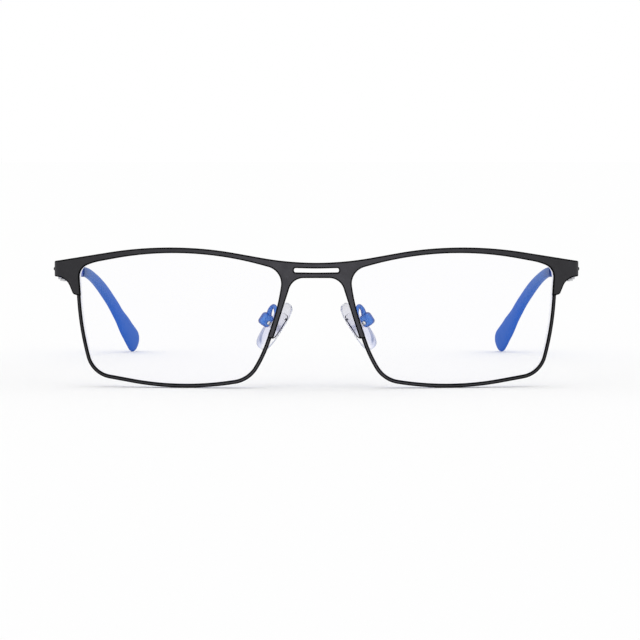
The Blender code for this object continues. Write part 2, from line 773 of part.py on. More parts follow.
def pad_ring(inset, height):
    """Outline of the pad at one height, straighter along its front side and wider at its lower end."""
    half_length = PAD_HALF_LENGTH - inset
    half_width = PAD_HALF_WIDTH - inset
    back = superellipse(half_length, half_width - PAD_BACK_INSET, PAD_BACK_POWER, 30)
    front = superellipse(half_length, half_width - PAD_FRONT_INSET, PAD_FRONT_POWER, 30)
    ring = [(a, b * (1.0 - PAD_BACK_TAPER * (a + 2.0)), height) for a, b in back[:15]]
    return ring + [(a, b * (1.0 - PAD_FRONT_TAPER * (a + 2.0)), height) for a, b in front[15:]]


def insert_plate(name, grown, far, near):
    """Plate in the insert's outline, lying across the pad's thickness axis."""
    outline = superellipse(INSERT_HALF_LENGTH + grown, INSERT_HALF_WIDTH + grown, INSERT_POWER, 32)
    plate = slab(name, [[(a + INSERT_RISE, b + INSERT_FORWARD) for a, b in outline]], 0.0, near - far)
    return placed(plate, Matrix.Translation((0.0, 0.0, far)) @ Matrix.Rotation(math.pi / 2, 4, "X"))


def build_pad():
    pad = loft("right_nose_pad", [pad_ring(inset, height) for height, inset in PAD_RINGS])
    pocket = insert_plate("pocket", FIT, -3.0, INSERT_NEAR_N + FIT)
    return placed(combined(pad, pocket, "DIFFERENCE"), pad_place())


def axis_rod(name, radius, half_length, segments=20):
    """Rod along the pad screw's axis, in the pad's own axes."""
    turn = Matrix.Translation((0.0, 0.0, PAD_AXIS_N)) @ headed_forwards()
    return placed(rod(name, radius, -half_length, half_length, segments), turn)


def build_pad_mount():
    mount = insert_plate("right_pad_mount", 0.0, INSERT_FAR_N, INSERT_NEAR_N)
    stud = rod("stud", STUD_RADIUS, STUD_FAR_N, INSERT_NEAR_N - FIT, 12)
    mount = combined(mount, placed(stud, Matrix.Translation((*STUD_PLACE, 0.0))), "UNION")
    stem = box("stem", (-TAB_RADIUS, -TAB_HALF_WIDTH, PAD_AXIS_N),
               (TAB_RADIUS, TAB_HALF_WIDTH, (INSERT_FAR_N + INSERT_NEAR_N) / 2))
    mount = combined(mount, stem, "UNION")
    mount = combined(mount, axis_rod("eye", TAB_RADIUS, TAB_HALF_WIDTH), "UNION")
    mount = combined(mount, axis_rod("hole", PAD_BORE_RADIUS, 3.0), "DIFFERENCE")
    return placed(mount, pad_place())


def pad_box_body(name, grown):
    low = (-BOX_LOWER_LENGTH - grown, -BOX_HALF_WIDTH - grown, BOX_FAR_N - grown)
    high = (BOX_UPPER_LENGTH + grown, BOX_HALF_WIDTH + grown, BOX_NEAR_N + grown)
    return softened(box(name, low, high), BOX_ROUNDING, 3)


def build_pad_box():
    cup = pad_box_body("right_pad_box", 0.0)
    slot = box("slot", (-4.0, -BOX_SLOT_HALF, BOX_FAR_N + BOX_WALL), (4.0, BOX_SLOT_HALF, 0.0))
    cup = combined(cup, slot, "DIFFERENCE")
    cup = combined(cup, axis_rod("bore", PAD_BORE_RADIUS, 3.0), "DIFFERENCE")
    return placed(cup, pad_place())


def build_pad_arm():
    """Wire from the back of the rim, over a loop, widening until it meets the box."""
    arm = wire("right_pad_arm", PAD_ARM_PATH, PAD_ARM_RADII)
    return combined(arm, placed(pad_box_body("box_room", FIT), pad_place()), "DIFFERENCE")


def build_pad_screw():
    length = 2 * BOX_HALF_WIDTH - 0.1
    screw = slotted_screw("right_pad_screw", PAD_HEAD_RADIUS, PAD_HEAD_HEIGHT, PAD_SCREW_RADIUS, length)
    seat = Matrix.Translation((0.0, -BOX_HALF_WIDTH - 0.02, PAD_AXIS_N))
    return placed(screw, pad_place() @ seat @ headed_forwards())


# ---------------------------------------------------------------- assembly

def material(look):
    name, colour, roughness, metallic = look
    made = bpy.data.materials.new(name)
    made.use_nodes = True
    shader = made.node_tree.nodes["Principled BSDF"]
    shader.inputs["Base Color"].default_value = (*colour, 1.0)
    shader.inputs["Roughness"].default_value = roughness
    shader.inputs["Metallic"].default_value = metallic
    shader.inputs["Alpha"].default_value = OPACITY.get(name, 1.0)
    made.diffuse_color = (*colour, OPACITY.get(name, 1.0))
    return made


def build_side():
    """Every piece of the right side with its look."""
    upper, lower, lock_screw = build_lock()
    return (
        (build_rim(), FRAME_BLACK), (build_lens(), LENS_CLEAR),
        (upper, FRAME_BLACK), (lower, FRAME_BLACK), (lock_screw, SCREW_STEEL),
        (build_front_leaf(), SCREW_STEEL), (build_temple_leaf(), SCREW_STEEL),
        (build_hinge_screw(), SCREW_STEEL), (build_rivet(), FRAME_BLACK),
        (build_temple_arm(), FRAME_BLACK), (build_temple_tip(), TIP_BLUE),
        (build_pad_arm(), PAD_ARM_BLUE), (build_pad_box(), PAD_ARM_BLUE),
        (build_pad_screw(), SCREW_STEEL), (build_pad_mount(), SCREW_STEEL), (build_pad(), PAD_CLEAR),
    )


def shade(piece, angle):
    piece.data.shade_smooth()
    piece.data.set_sharp_from_angle(angle=angle)


def main():
    for old in list(bpy.data.objects):
        bpy.data.objects.remove(old)
    pieces = [(build_plate(), FRAME_BLACK)]
    for piece, look in build_side():
        pieces.append((piece, look))
        pieces.append((mirrored(piece, piece.name.replace("right_", "left_")), look))
    looks = {look[0]: material(look) for piece, look in pieces}
    places = [vertex.co for piece, look in pieces for vertex in piece.data.vertices]
    depth = max(place.y for place in places)
    lowest = min(place.z for place in places)
    to_world = Matrix.Scale(METRES_PER_MM, 4) @ Matrix.Translation((0.0, -depth / 2, -lowest))
    collection = bpy.data.collections.new(PIECE_COLLECTION)
    bpy.context.scene.collection.children.link(collection)
    pivots = {"temple_leaf": HINGE_CENTRE, "nose_pad": pad_place() @ Vector((0.0, 0.0, PAD_AXIS_N))}
    for piece, look in pieces:
        bpy.context.scene.collection.objects.unlink(piece)
        collection.objects.link(piece)
        piece.data.transform(to_world)
        piece.data.materials.clear()
        piece.data.materials.append(looks[look[0]])
        shade(piece, math.radians(35.0))
        for key, pivot in pivots.items():
            if key in piece.name:
                side = -1.0 if piece.name.startswith("left_") else 1.0
                origin = to_world @ Vector((side * pivot.x, pivot.y, pivot.z))
                piece.data.transform(Matrix.Translation(-origin))
                piece.location = origin


main()
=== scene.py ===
import math

import bmesh
import bpy
from mathutils import Matrix, Vector


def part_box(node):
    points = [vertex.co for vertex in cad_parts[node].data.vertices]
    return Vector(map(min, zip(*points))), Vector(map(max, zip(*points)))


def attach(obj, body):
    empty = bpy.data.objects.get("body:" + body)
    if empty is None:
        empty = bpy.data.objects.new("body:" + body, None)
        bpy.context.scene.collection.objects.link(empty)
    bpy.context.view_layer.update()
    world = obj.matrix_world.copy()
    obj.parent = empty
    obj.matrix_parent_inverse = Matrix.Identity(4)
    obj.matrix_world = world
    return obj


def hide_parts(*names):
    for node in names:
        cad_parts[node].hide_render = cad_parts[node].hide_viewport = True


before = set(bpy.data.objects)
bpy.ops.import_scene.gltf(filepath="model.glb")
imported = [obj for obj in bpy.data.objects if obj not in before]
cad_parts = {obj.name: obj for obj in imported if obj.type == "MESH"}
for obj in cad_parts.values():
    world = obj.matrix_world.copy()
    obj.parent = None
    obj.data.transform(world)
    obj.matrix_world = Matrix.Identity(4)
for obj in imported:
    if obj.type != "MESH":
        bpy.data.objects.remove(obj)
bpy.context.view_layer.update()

# Lengths are in millimetres in the design frame: u along the front, y back from its face, z up.
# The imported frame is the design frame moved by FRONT_Y and LIFT_Z, in metres.
METRES = 0.001
FRONT_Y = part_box("front_plate")[0][1] / METRES
LIFT_Z = 0.2539
TOLERANCE = 0.004

HALF_WIDTH = 70.15
FLAT_HALF = 9.0
FACE_RADIUS = 260.0
END_BEND_RADIUS = 1.9
WING_END_Y = 13.5
SHEET = 0.8
EDGE_ROUNDING = 0.38
WING_CORNER = 0.3

RIM_WIDTH = 1.03
RIM_FRONT = 0.85
RIM_DEPTH = 1.9
GROOVE_DEPTH = 0.42
GROOVE_HALF = 0.45
LENS_HALF = 0.8
LENS_INSET = 0.06
BEVEL_HEIGHT = 0.3
BEVEL_HALF = 0.4
LENS_BULGE = 0.9
RIM_MIDDLE = RIM_FRONT + RIM_DEPTH / 2
RIM_BACK = RIM_FRONT + RIM_DEPTH

# Outlines: each corner is u, z and the radius of its rounding.
LENS_CENTRE = Vector((36.6, 18.3))
OPENING = (
    (63.86, 31.35, 3.4), (59.83, 33.03, 16.9), (33.95, 37.8, 88.0), (8.87, 30.93, 4.6),
    (10.06, 22.16, 52.0), (14.59, 8.59, 39.0), (17.89, 2.68, 6.5), (34.87, -0.45, 80.0),
    (59.54, 3.71, 6.6), (62.80, 15.24, 74.0),
)
RIM_OPENING = (
    (64.25, 31.54, 3.6), (59.8, 33.38, 18.3), (34.94, 38.17, 89.3), (8.78, 31.15, 4.7),
    (10.02, 21.83, 52.1), (14.57, 8.68, 35.9), (18.32, 2.43, 7.6), (35.56, -0.36, 84.6),
    (59.98, 3.72, 6.8), (63.08, 15.06, 74.1),
)
TOP_EDGE = (
    (0.0, 33.1, 0.0), (7.5, 33.14, 84.0), (27.46, 36.69, 92.0), (44.6, 37.5, 105.0), (69.5, 33.5, 4.0),
)
END_EDGE = (
    (70.9, 29.15, 6.0), (68.8, 28.95, 2.7), (66.93, 27.7, 3.3), (65.56, 24.5, 0.9), (64.4, 24.16, 0.0),
)
NASAL_EDGE = ((11.47, 12.95, 0.0), (6.32, 29.03, 4.0), (0.0, 29.05, 0.0))
BRIDGE_SLOT = (
    (-5.95, 30.58, 0.45), (0.0, 30.49, 90.0), (5.95, 30.58, 0.45),
    (5.95, 31.7, 0.45), (0.0, 31.54, 90.0), (-5.95, 31.7, 0.45),
)
WING_TOP_Z = 32.9
WING_BOTTOM_Z = 28.88
PLATE_END_TEMPORAL_Z = 24.15
PLATE_END_NASAL_Z = 13.1
SPLIT_Z = 28.2
SPLIT_GAP = 0.1
SPLIT_INNER_U = 61.8
SPLIT_OUTER_U = 66.2

LOCK_U = 65.72
LOCK_Y = 2.0
LOCK_HEIGHT = 1.7
LOCK_INNER = 0.57
LOCK_UPPER_OUTER = 1.03
LOCK_LOWER_OUTER = 0.58
LOCK_HALF_DEPTH = 1.1

TEMPLE_SLOPE = math.radians(3.1)
HINGE_CENTRE = Vector((68.15, 15.0, 30.05))
LEAF_INNER = 0.4
LEAF_OUTER = 1.15
LEAF_HALF_HEIGHT = 2.0
FRONT_LEAF_LENGTH = 5.2
TEMPLE_LEAF_LENGTH = 6.5
KNUCKLE_RADIUS = 1.15
KNUCKLE_REACH = 2.4
KNUCKLE_SPLIT = 0.8
HINGE_BORE = 0.6
RIVET_PLACE = (HALF_WIDTH, 11.1, 31.1)
RIVET_RADIUS = 0.5
RIVET_HEIGHT = 0.5
RIVET_SHANK = 0.35
RIVET_LENGTH = 1.5

# The temple in side view: corners of its middle line as y, z and rounding. Tables go by fraction of the tip.
TEMPLE_PATH = ((13.75, 31.0, 0.0), (109.6, 25.81, 64.8), (136.9, 3.5, 0.0))
TIP_START_Y = 84.0
BOW_START = 80.0
BOW_RADIUS = 138.5
TIP_SIDE_HALVES = ((0.0, 1.52), (0.13, 1.46), (0.25, 1.5), (0.6, 2.15), (0.76, 2.5), (0.9, 3.4), (1.0, 3.75))
TIP_THICKNESS_HALVES = ((0.0, 0.9), (0.3, 1.1), (0.9, 0.95), (1.0, 0.9))
TIP_POWER = 2.5
TIP_END_LENGTH = 3.32
# The arm: distance along it and half height.
ARM_STATIONS = ((0.0, 2.0), (14.0, 1.88))
ARM_BACK_HALF = 1.42
CORE_HALF = 0.7
CORE_LENGTH = 33.0

PAD_CENTRE = Vector((11.3, 10.0, 15.75))
PAD_LEAN = math.radians(33.5)
PAD_SPLAY = math.radians(33.0)
PAD_HALF_LENGTH = 7.2
PAD_HALF_WIDTH = 4.0
PAD_HALF_THICKNESS = 1.2
PAD_EDGE_INSET = 2.6
PAD_FRONT_INSET = 0.65
PAD_BACK_INSET = 0.7
PAD_AXIS_N = -3.0
PAD_BORE = 0.5
INSERT_HALF_LENGTH = 3.7
INSERT_HALF_WIDTH = 1.7
INSERT_PLACE = (0.6, 0.7)
INSERT_N = 0.6
INSERT_HALF_THICKNESS = 0.17
EYE_RADIUS = 0.95
EYE_HALF_WIDTH = 0.5
CUP_LOW = Vector((-1.55, -1.3, -5.1))
CUP_HIGH = Vector((2.05, 1.3, -1.75))
CUP_WALL = 0.5
CUP_SLOT_HALF = 0.6
# The pad arm: its points, and its radius at each.
PAD_ARM_PATH = (
    (10.95, 2.9, 18.2), (10.95, 3.7, 18.2), (10.8, 4.75, 20.0), (11.3, 5.7, 21.3),
    (12.2, 6.7, 20.6), (12.62, 7.6, 19.5), (12.95, 8.4, 18.4),
)
PAD_ARM_RADII = (0.5, 0.5, 0.52, 0.56, 0.6, 0.72, 0.95)

CAMERA_DISTANCE = 700.0
CAMERA_HEIGHT = 60.4
CAMERA_SIDE = 0.94
CAMERA_PITCH = 3.47
SENSOR_WIDTH = 36.0
FOCAL_LENGTH = 148.894

# The floor, in metres.
FLOOR_HALF = 60.0
FLOOR_Z = -0.00005


# ---------------------------------------------------------------- outlines and bends

def rounded(corners, closed=True):
    """Outline through the corners, each replaced by an arc of its own radius."""
    points = []
    count = len(corners)
    for index, (u, z, radius) in enumerate(corners):
        here = Vector((u, z))
        if radius == 0.0 or (not closed and index in (0, count - 1)):
            points.append(here)
            continue
        before = (Vector(corners[index - 1][:2]) - here).normalized()
        after = (Vector(corners[(index + 1) % count][:2]) - here).normalized()
        turn = math.pi - before.angle(after)
        centre = here + (before + after).normalized() * radius / math.cos(turn / 2)
        start = here + before * radius * math.tan(turn / 2) - centre
        direction = -1.0 if before.cross(after) > 0.0 else 1.0
        steps = max(3, math.ceil(turn / (2 * math.acos(1 - TOLERANCE / radius))))
        for step in range(steps + 1):
            points.append(centre + Matrix.Rotation(direction * turn * step / steps, 2) @ start)
    return points


def offset_outline(points, distance):
    """Closed anticlockwise outline moved outwards by a distance."""
    moved = []
    count = len(points)
    for index, point in enumerate(points):
        before = (point - points[index - 1]).normalized()
        after = (points[(index + 1) % count] - point).normalized()
        normal = Vector((before.y + after.y, -before.x - after.x)).normalized()
        stretch = max(0.5, normal.dot(Vector((after.y, -after.x))))
        moved.append(point + normal * distance / stretch)
    return moved


def opening_angle(point):
    """Direction of a point from the middle of the lens."""
    return math.atan2(point[1] - LENS_CENTRE[1], point[0] - LENS_CENTRE[0]) % (2 * math.pi)


def opening_part(from_z, to_z):
    """Edge of the opening, from its temporal side at one height over the top to its nasal side at another."""
    outline = rounded(OPENING)
    crossings = []
    for start, end in zip(outline, outline[1:] + outline[:1]):
        for level, temporal in ((from_z, True), (to_z, False)):
            crosses = (start.y - level) * (end.y - level) < 0.0
            if crosses and (start.x > LENS_CENTRE[0]) == temporal:
                crossings.append(start.lerp(end, (level - start.y) / (end.y - start.y)))
    first, last = sorted(crossings, key=opening_angle)
    inside = [p for p in outline if opening_angle(first) < opening_angle(p) < opening_angle(last)]
    return [first] + sorted(inside, key=opening_angle) + [last]


def face_point(u, depth):
    """Plan place of a point of the curved front, at a depth behind its face."""
    beyond = abs(u) - FLAT_HALF
    if beyond <= 0.0:
        return u, depth
    angle = beyond / FACE_RADIUS
    x = FLAT_HALF + (FACE_RADIUS - depth) * math.sin(angle)
    return math.copysign(x, u), FACE_RADIUS - (FACE_RADIUS - depth) * math.cos(angle)


def end_bend():
    """Angle of the front's curve, and distance along it, where the end pieces start to turn back."""
    angle = math.asin((HALF_WIDTH - FLAT_HALF - END_BEND_RADIUS) / (FACE_RADIUS - END_BEND_RADIUS))
    return angle, FLAT_HALF + FACE_RADIUS * angle


def wing_start():
    """Distance along the front, and depth, where the end pieces run straight back."""
    angle, start = end_bend()
    length = END_BEND_RADIUS * (math.pi / 2 - angle)
    return start + length, FACE_RADIUS - (FACE_RADIUS - END_BEND_RADIUS) * math.cos(angle)


def plate_point(u, depth):
    """Plan place of a point of the front plate, with its end pieces bent back."""
    face_angle, start = end_bend()
    beyond = abs(u) - start
    if beyond <= 0.0:
        return face_point(u, depth)
    straight_u, straight_y = wing_start()
    if abs(u) >= straight_u:
        return math.copysign(HALF_WIDTH - depth, u), straight_y + abs(u) - straight_u
    angle = face_angle + beyond / END_BEND_RADIUS
    reach = END_BEND_RADIUS - depth
    x = HALF_WIDTH - END_BEND_RADIUS + reach * math.sin(angle)
    return math.copysign(x, u), straight_y - reach * math.cos(angle)


def bow_point(s, inwards):
    """Plan place of a temple point, s back and some way inwards from the arm's middle plane."""
    middle = HALF_WIDTH - SHEET / 2
    beyond = s - BOW_START
    if beyond <= 0.0:
        return middle - inwards, s
    angle = beyond / BOW_RADIUS
    x = middle - BOW_RADIUS + (BOW_RADIUS - inwards) * math.cos(angle)
    return x, BOW_START + (BOW_RADIUS - inwards) * math.sin(angle)


def steps_between(start, end, spacing):
    """Evenly spaced numbers from start to end, no further apart than the spacing."""
    count = max(1, math.ceil((end - start) / spacing))
    return [start + (end - start) * index / count for index in range(count + 1)]


# ---------------------------------------------------------------- mesh tools

def new_object(name, data):
    """Object for some mesh, curve, light or camera data, in the scene."""
    piece = bpy.data.objects.new(name, data)
    bpy.context.scene.collection.objects.link(piece)
    return piece


def baked(piece):
    """Mesh object made from a curve or from a mesh with modifiers."""
    bpy.context.view_layer.update()
    evaluated = piece.evaluated_get(bpy.context.evaluated_depsgraph_get())
    mesh = bpy.data.meshes.new_from_object(evaluated)
    name = piece.name
    bpy.data.objects.remove(piece)
    return cleaned(new_object(name, mesh))


def cleaned(piece):
    """Joins the points that coincide and turns every face outwards."""
    work = bmesh.new()
    work.from_mesh(piece.data)
    bmesh.ops.remove_doubles(work, verts=work.verts, dist=0.0001)
    bmesh.ops.recalc_face_normals(work, faces=work.faces)
    work.to_mesh(piece.data)
    work.free()
    return piece


def slab(name, outlines, front, back, rounding):
    """Flat sheet with rounded edges. Mesh axes: along, depth, height."""
    data = bpy.data.curves.new(name, "CURVE")
    data.dimensions = "2D"
    data.fill_mode = "BOTH"
    data.extrude = (back - front) / 2 - rounding
    data.bevel_depth = rounding
    data.bevel_resolution = 3
    data.offset = -rounding
    for outline in outlines:
        spline = data.splines.new("POLY")
        spline.points.add(len(outline) - 1)
        for point, (u, z) in zip(spline.points, outline):
            point.co = (u, z, 0.0, 1.0)
        spline.use_cyclic_u = True
    piece = baked(new_object(name, data))
    middle = (front + back) / 2
    for vertex in piece.data.vertices:
        u, z, depth = vertex.co
        vertex.co = (u, middle - depth, z)
    return cleaned(piece)


def faces_marked(piece):
    """Material slots of a flat piece: 0 for its outer face, 1 for its edges, 2 for its inner face."""
    for face in piece.data.polygons:
        if face.normal.y > 0.4:
            face.material_index = 2
        # slot 1, the edges, takes painted shade in the black pieces
        elif face.normal.y > -0.993:
            face.material_index = 1
        else:
            face.material_index = 0
    return piece


def sliced(piece, positions):
    """Cuts a flat piece across at some places along it, so that it can bend there."""
    along = Vector((1.0, 0.0, 0.0))
    work = bmesh.new()
    work.from_mesh(piece.data)
    for position in positions:
        whole = work.verts[:] + work.edges[:] + work.faces[:]
        bmesh.ops.bisect_plane(work, geom=whole, plane_co=along * position, plane_no=along)
    work.to_mesh(piece.data)
    work.free()
    return piece


def bent(piece, bend):
    """Takes a flat piece, or a straight one, to its curved place in plan."""
    for vertex in piece.data.vertices:
        u, depth, z = vertex.co
        x, y = bend(u, depth)
        vertex.co = (x, y, z)
    return piece


def swept_ring(name, outline, section):
    """Closed section carried round a flat closed outline. Mesh axes: along, depth, height."""
    profile = bpy.data.curves.new(name + "_section", "CURVE")
    profile.dimensions = "2D"
    edge = profile.splines.new("POLY")
    edge.points.add(len(section) - 1)
    for point, (across, depth) in zip(edge.points, section):
        point.co = (-across, -depth, 0.0, 1.0)
    edge.use_cyclic_u = True
    profile_piece = new_object(name + "_section", profile)
    path = bpy.data.curves.new(name, "CURVE")
    path.dimensions = "2D"
    path.fill_mode = "NONE"
    path.bevel_mode = "OBJECT"
    path.bevel_object = profile_piece
    spline = path.splines.new("POLY")
    spline.points.add(len(outline) - 1)
    for point, (u, z) in zip(spline.points, outline):
        point.co = (u, z, 0.0, 1.0)
    spline.use_cyclic_u = True
    piece = baked(new_object(name, path))
    bpy.data.objects.remove(profile_piece)
    for vertex in piece.data.vertices:
        u, z, depth = vertex.co
        vertex.co = (u, -depth, z)
    return cleaned(piece)


def wire(name, path, radii):
    """Round wire through the points of a path, with a radius at each."""
    data = bpy.data.curves.new(name, "CURVE")
    data.dimensions = "3D"
    data.bevel_depth = 1.0
    data.bevel_resolution = 6
    data.use_fill_caps = True
    data.resolution_u = 16
    spline = data.splines.new("BEZIER")
    spline.bezier_points.add(len(path) - 1)
    for point, place, radius in zip(spline.bezier_points, path, radii):
        point.co = place
        point.radius = radius
        point.handle_left_type = "AUTO"
        point.handle_right_type = "AUTO"
    return baked(new_object(name, data))


def turned(name, profile, segments):
    """Turned piece about Z from a profile of radius and height, from its top down."""
    mesh = bpy.data.meshes.new(name)
    places = [(radius, 0.0, height) for radius, height in profile]
    mesh.from_pydata(places, [(i, i + 1) for i in range(len(places) - 1)], [])
    piece = new_object(name, mesh)
    screw = piece.modifiers.new("turn", "SCREW")
    screw.steps = segments
    screw.render_steps = segments
    screw.use_merge_vertices = True
    screw.merge_threshold = 0.0001
    return baked(piece)


def rod(name, radius, bottom, top):
    """Plain cylinder about Z, for joining and cutting."""
    return turned(name, ((0.0, top), (radius, top), (radius, bottom), (0.0, bottom)), 48)


def box(name, low, high):
    """Plain block between two corners."""
    mesh = bpy.data.meshes.new(name)
    work = bmesh.new()
    bmesh.ops.create_cube(work, size=1.0)
    for vertex in work.verts:
        for axis in range(3):
            vertex.co[axis] = high[axis] if vertex.co[axis] > 0.0 else low[axis]
    work.to_mesh(mesh)
    work.free()
    return new_object(name, mesh)


def softened(piece, width, segments):
    """Rounds a piece's sharp edges."""
    bevel = piece.modifiers.new("edges", "BEVEL")
    bevel.width = width
    bevel.segments = segments
    bevel.limit_method = "ANGLE"
    bevel.angle_limit = math.radians(40.0)
    return baked(piece)


def combined(piece, other, operation):
    """Joins or cuts a piece with another, which is used up."""
    modifier = piece.modifiers.new("combine", "BOOLEAN")
    modifier.solver = "EXACT"
    modifier.operation = operation
    modifier.object = other
    result = baked(piece)
    bpy.data.objects.remove(other)
    return result


def placed(piece, matrix):
    """Moves a piece's mesh by a matrix."""
    piece.data.transform(matrix)
    return piece


def loft(name, rings, edge_rings=()):
    """Closed body through rings of equal point counts. The faces after edge_rings take the second slot."""
    mesh = bpy.data.meshes.new(name)
    work = bmesh.new()
    loops = [[work.verts.new(place) for place in ring] for ring in rings]
    for level, (lower, upper) in enumerate(zip(loops, loops[1:])):
        for index in range(len(lower)):
            after = (index + 1) % len(lower)
            face = work.faces.new((lower[index], lower[after], upper[after], upper[index]))
            face.material_index = 1 if level in edge_rings else 0
    work.faces.new(list(reversed(loops[0])))
    work.faces.new(loops[-1])
    bmesh.ops.recalc_face_normals(work, faces=work.faces)
    work.to_mesh(mesh)
    work.free()
    return new_object(name, mesh)


def superellipse(half_a, half_b, power, count):
    """Points of a rounded oblong, squarer for a higher power."""
    points = []
    for index in range(count):
        angle = 2 * math.pi * index / count
        a = math.copysign(abs(math.cos(angle)) ** (2 / power), math.cos(angle))
        b = math.copysign(abs(math.sin(angle)) ** (2 / power), math.sin(angle))
        points.append((a * half_a, b * half_b))
    return points


# ---------------------------------------------------------------- front

def build_plate():
    """Black sheet over both lenses: brow, bridge with its slot, and end pieces bent back."""
    straight_u, straight_y = wing_start()
    wing_end = straight_u + WING_END_Y - straight_y
    wing = ((wing_end, WING_TOP_Z, WING_CORNER), (wing_end, WING_BOTTOM_Z, WING_CORNER))
    right = rounded(TOP_EDGE + wing + END_EDGE, False)
    right += opening_part(PLATE_END_TEMPORAL_Z, PLATE_END_NASAL_Z)
    right += rounded(NASAL_EDGE, False)
    left = [Vector((-p.x, p.y)) for p in reversed(right) if p.x > 0.001]
    outline = list(reversed(right + left))
    plate = slab("front_plate_look", [outline, rounded(BRIDGE_SLOT)], 0.0, SHEET, EDGE_ROUNDING)
    plate = faces_marked(plate)
    bend_start = end_bend()[1]
    cuts = steps_between(FLAT_HALF, bend_start, 1.6) + steps_between(bend_start, straight_u, 0.16)[1:]
    plate = sliced(plate, cuts + [-cut for cut in cuts])
    return bent(plate, plate_point)


def build_rim():
    """Grooved rim round the lens, split at the lock. The section's corners are across, depth, rounding."""
    section = rounded((
        (0.0, RIM_FRONT, 0.34), (RIM_WIDTH, RIM_FRONT, 0.36),
        (RIM_WIDTH, RIM_BACK, 0.3), (0.0, RIM_BACK, 0.1),
        (0.0, RIM_MIDDLE + GROOVE_HALF, 0.0), (GROOVE_DEPTH, RIM_MIDDLE, 0.0),
        (0.0, RIM_MIDDLE - GROOVE_HALF, 0.0),
    ))
    rim = swept_ring("right_rim_look", rounded(RIM_OPENING), section)
    low = (SPLIT_INNER_U, 0.0, SPLIT_Z - SPLIT_GAP / 2)
    high = (SPLIT_OUTER_U, RIM_BACK + 1.0, SPLIT_Z + SPLIT_GAP / 2)
    split = box("split", low, high)
    rim = combined(rim, split, "DIFFERENCE")
    return bent(faces_marked(rim), face_point)


def build_lens():
    """Bulged lens whose edge has a ridge that sits in the rim's groove."""
    outline = rounded(RIM_OPENING)
    edge = offset_outline(outline, -LENS_INSET)
    ridge = offset_outline(outline, BEVEL_HEIGHT)
    shares = (0.02, 0.15, 0.3, 0.45, 0.6, 0.72, 0.83, 0.92, 0.97, 1.0)
    rings = []
    for share in shares:
        depth = RIM_MIDDLE - LENS_HALF - LENS_BULGE * (1 - share * share)
        rings.append([(*LENS_CENTRE.lerp(p, share), depth) for p in edge])
    rings.append([(*p, RIM_MIDDLE - BEVEL_HALF) for p in edge])
    rings.append([(*p, RIM_MIDDLE) for p in ridge])
    rings.append([(*p, RIM_MIDDLE + BEVEL_HALF) for p in edge])
    for share in reversed(shares):
        depth = RIM_MIDDLE + LENS_HALF - LENS_BULGE * (1 - share * share)
        rings.append([(*LENS_CENTRE.lerp(p, share), depth) for p in edge])
    rings = [[(u, depth, z) for u, z, depth in ring] for ring in rings]
    first_edge = len(shares) - 1
    return bent(loft("right_lens_look", rings, range(first_edge, first_edge + 4)), face_point)


def on_face(u, depth):
    """Placement on the curved front, square to it."""
    x, y = face_point(u, depth)
    return Matrix.Translation((x, y, 0.0)) @ Matrix.Rotation((u - FLAT_HALF) / FACE_RADIUS, 4, "Z")


def slotted_screw(name, head_radius, head_height, shank_radius, length):
    """Screw along Z with the underside of its domed head at z = 0."""
    profile = [(0.0, head_height)]
    for angle in (15.0, 30.0, 45.0, 60.0, 75.0, 90.0):
        turn = math.radians(angle)
        profile.append((head_radius * math.sin(turn), head_height * (0.62 + 0.38 * math.cos(turn))))
    profile += [(head_radius, 0.05), (head_radius - 0.05, 0.0), (shank_radius, 0.0),
                (shank_radius, -length + 0.15), (shank_radius - 0.15, -length), (0.0, -length)]
    screw = turned(name, profile, 48)
    half = head_radius * 0.15
    slot = box("slot", (-head_radius - 1.0, -half, head_height * 0.5), (head_radius + 1.0, half, 1.0))
    return combined(screw, slot, "DIFFERENCE")


def build_lock():
    """Two blocks above and below the rim's split, and the screw that pulls them together."""
    place = on_face(LOCK_U, LOCK_Y)
    upper_bottom = SPLIT_Z + SPLIT_GAP / 2
    lower_bottom = SPLIT_Z - SPLIT_GAP / 2 - LOCK_HEIGHT
    pieces = []
    for name, outer, bottom in (("right_rim_lock_upper_look", LOCK_UPPER_OUTER, upper_bottom),
                                ("right_rim_lock_lower_look", LOCK_LOWER_OUTER, lower_bottom)):
        high = (outer, LOCK_HALF_DEPTH, bottom + LOCK_HEIGHT)
        block = softened(box(name, (-LOCK_INNER, -LOCK_HALF_DEPTH, bottom), high), 0.16, 3)
        pieces.append(placed(combined(block, rod("bore", 0.4, 20.0, 35.0), "DIFFERENCE"), place))
    screw = slotted_screw("right_rim_lock_screw_look", 0.55, 0.42, shank_radius=0.35, length=3.5)
    pieces.append(placed(screw, place @ Matrix.Translation((0.0, 0.0, upper_bottom + LOCK_HEIGHT + 0.02))))
    return pieces


# ---------------------------------------------------------------- hinge

def hinge_place():
    """Hinge axes: Y back along the temple, Z up the pin."""
    return Matrix.Translation(HINGE_CENTRE) @ Matrix.Rotation(-TEMPLE_SLOPE, 4, "X")


def cut_between(leaf, low, high, front, back):
    """Cuts a leaf away round the barrel between two heights."""
    return combined(leaf, box("notch", (-2.0, front, low), (2.0, back, high)), "DIFFERENCE")


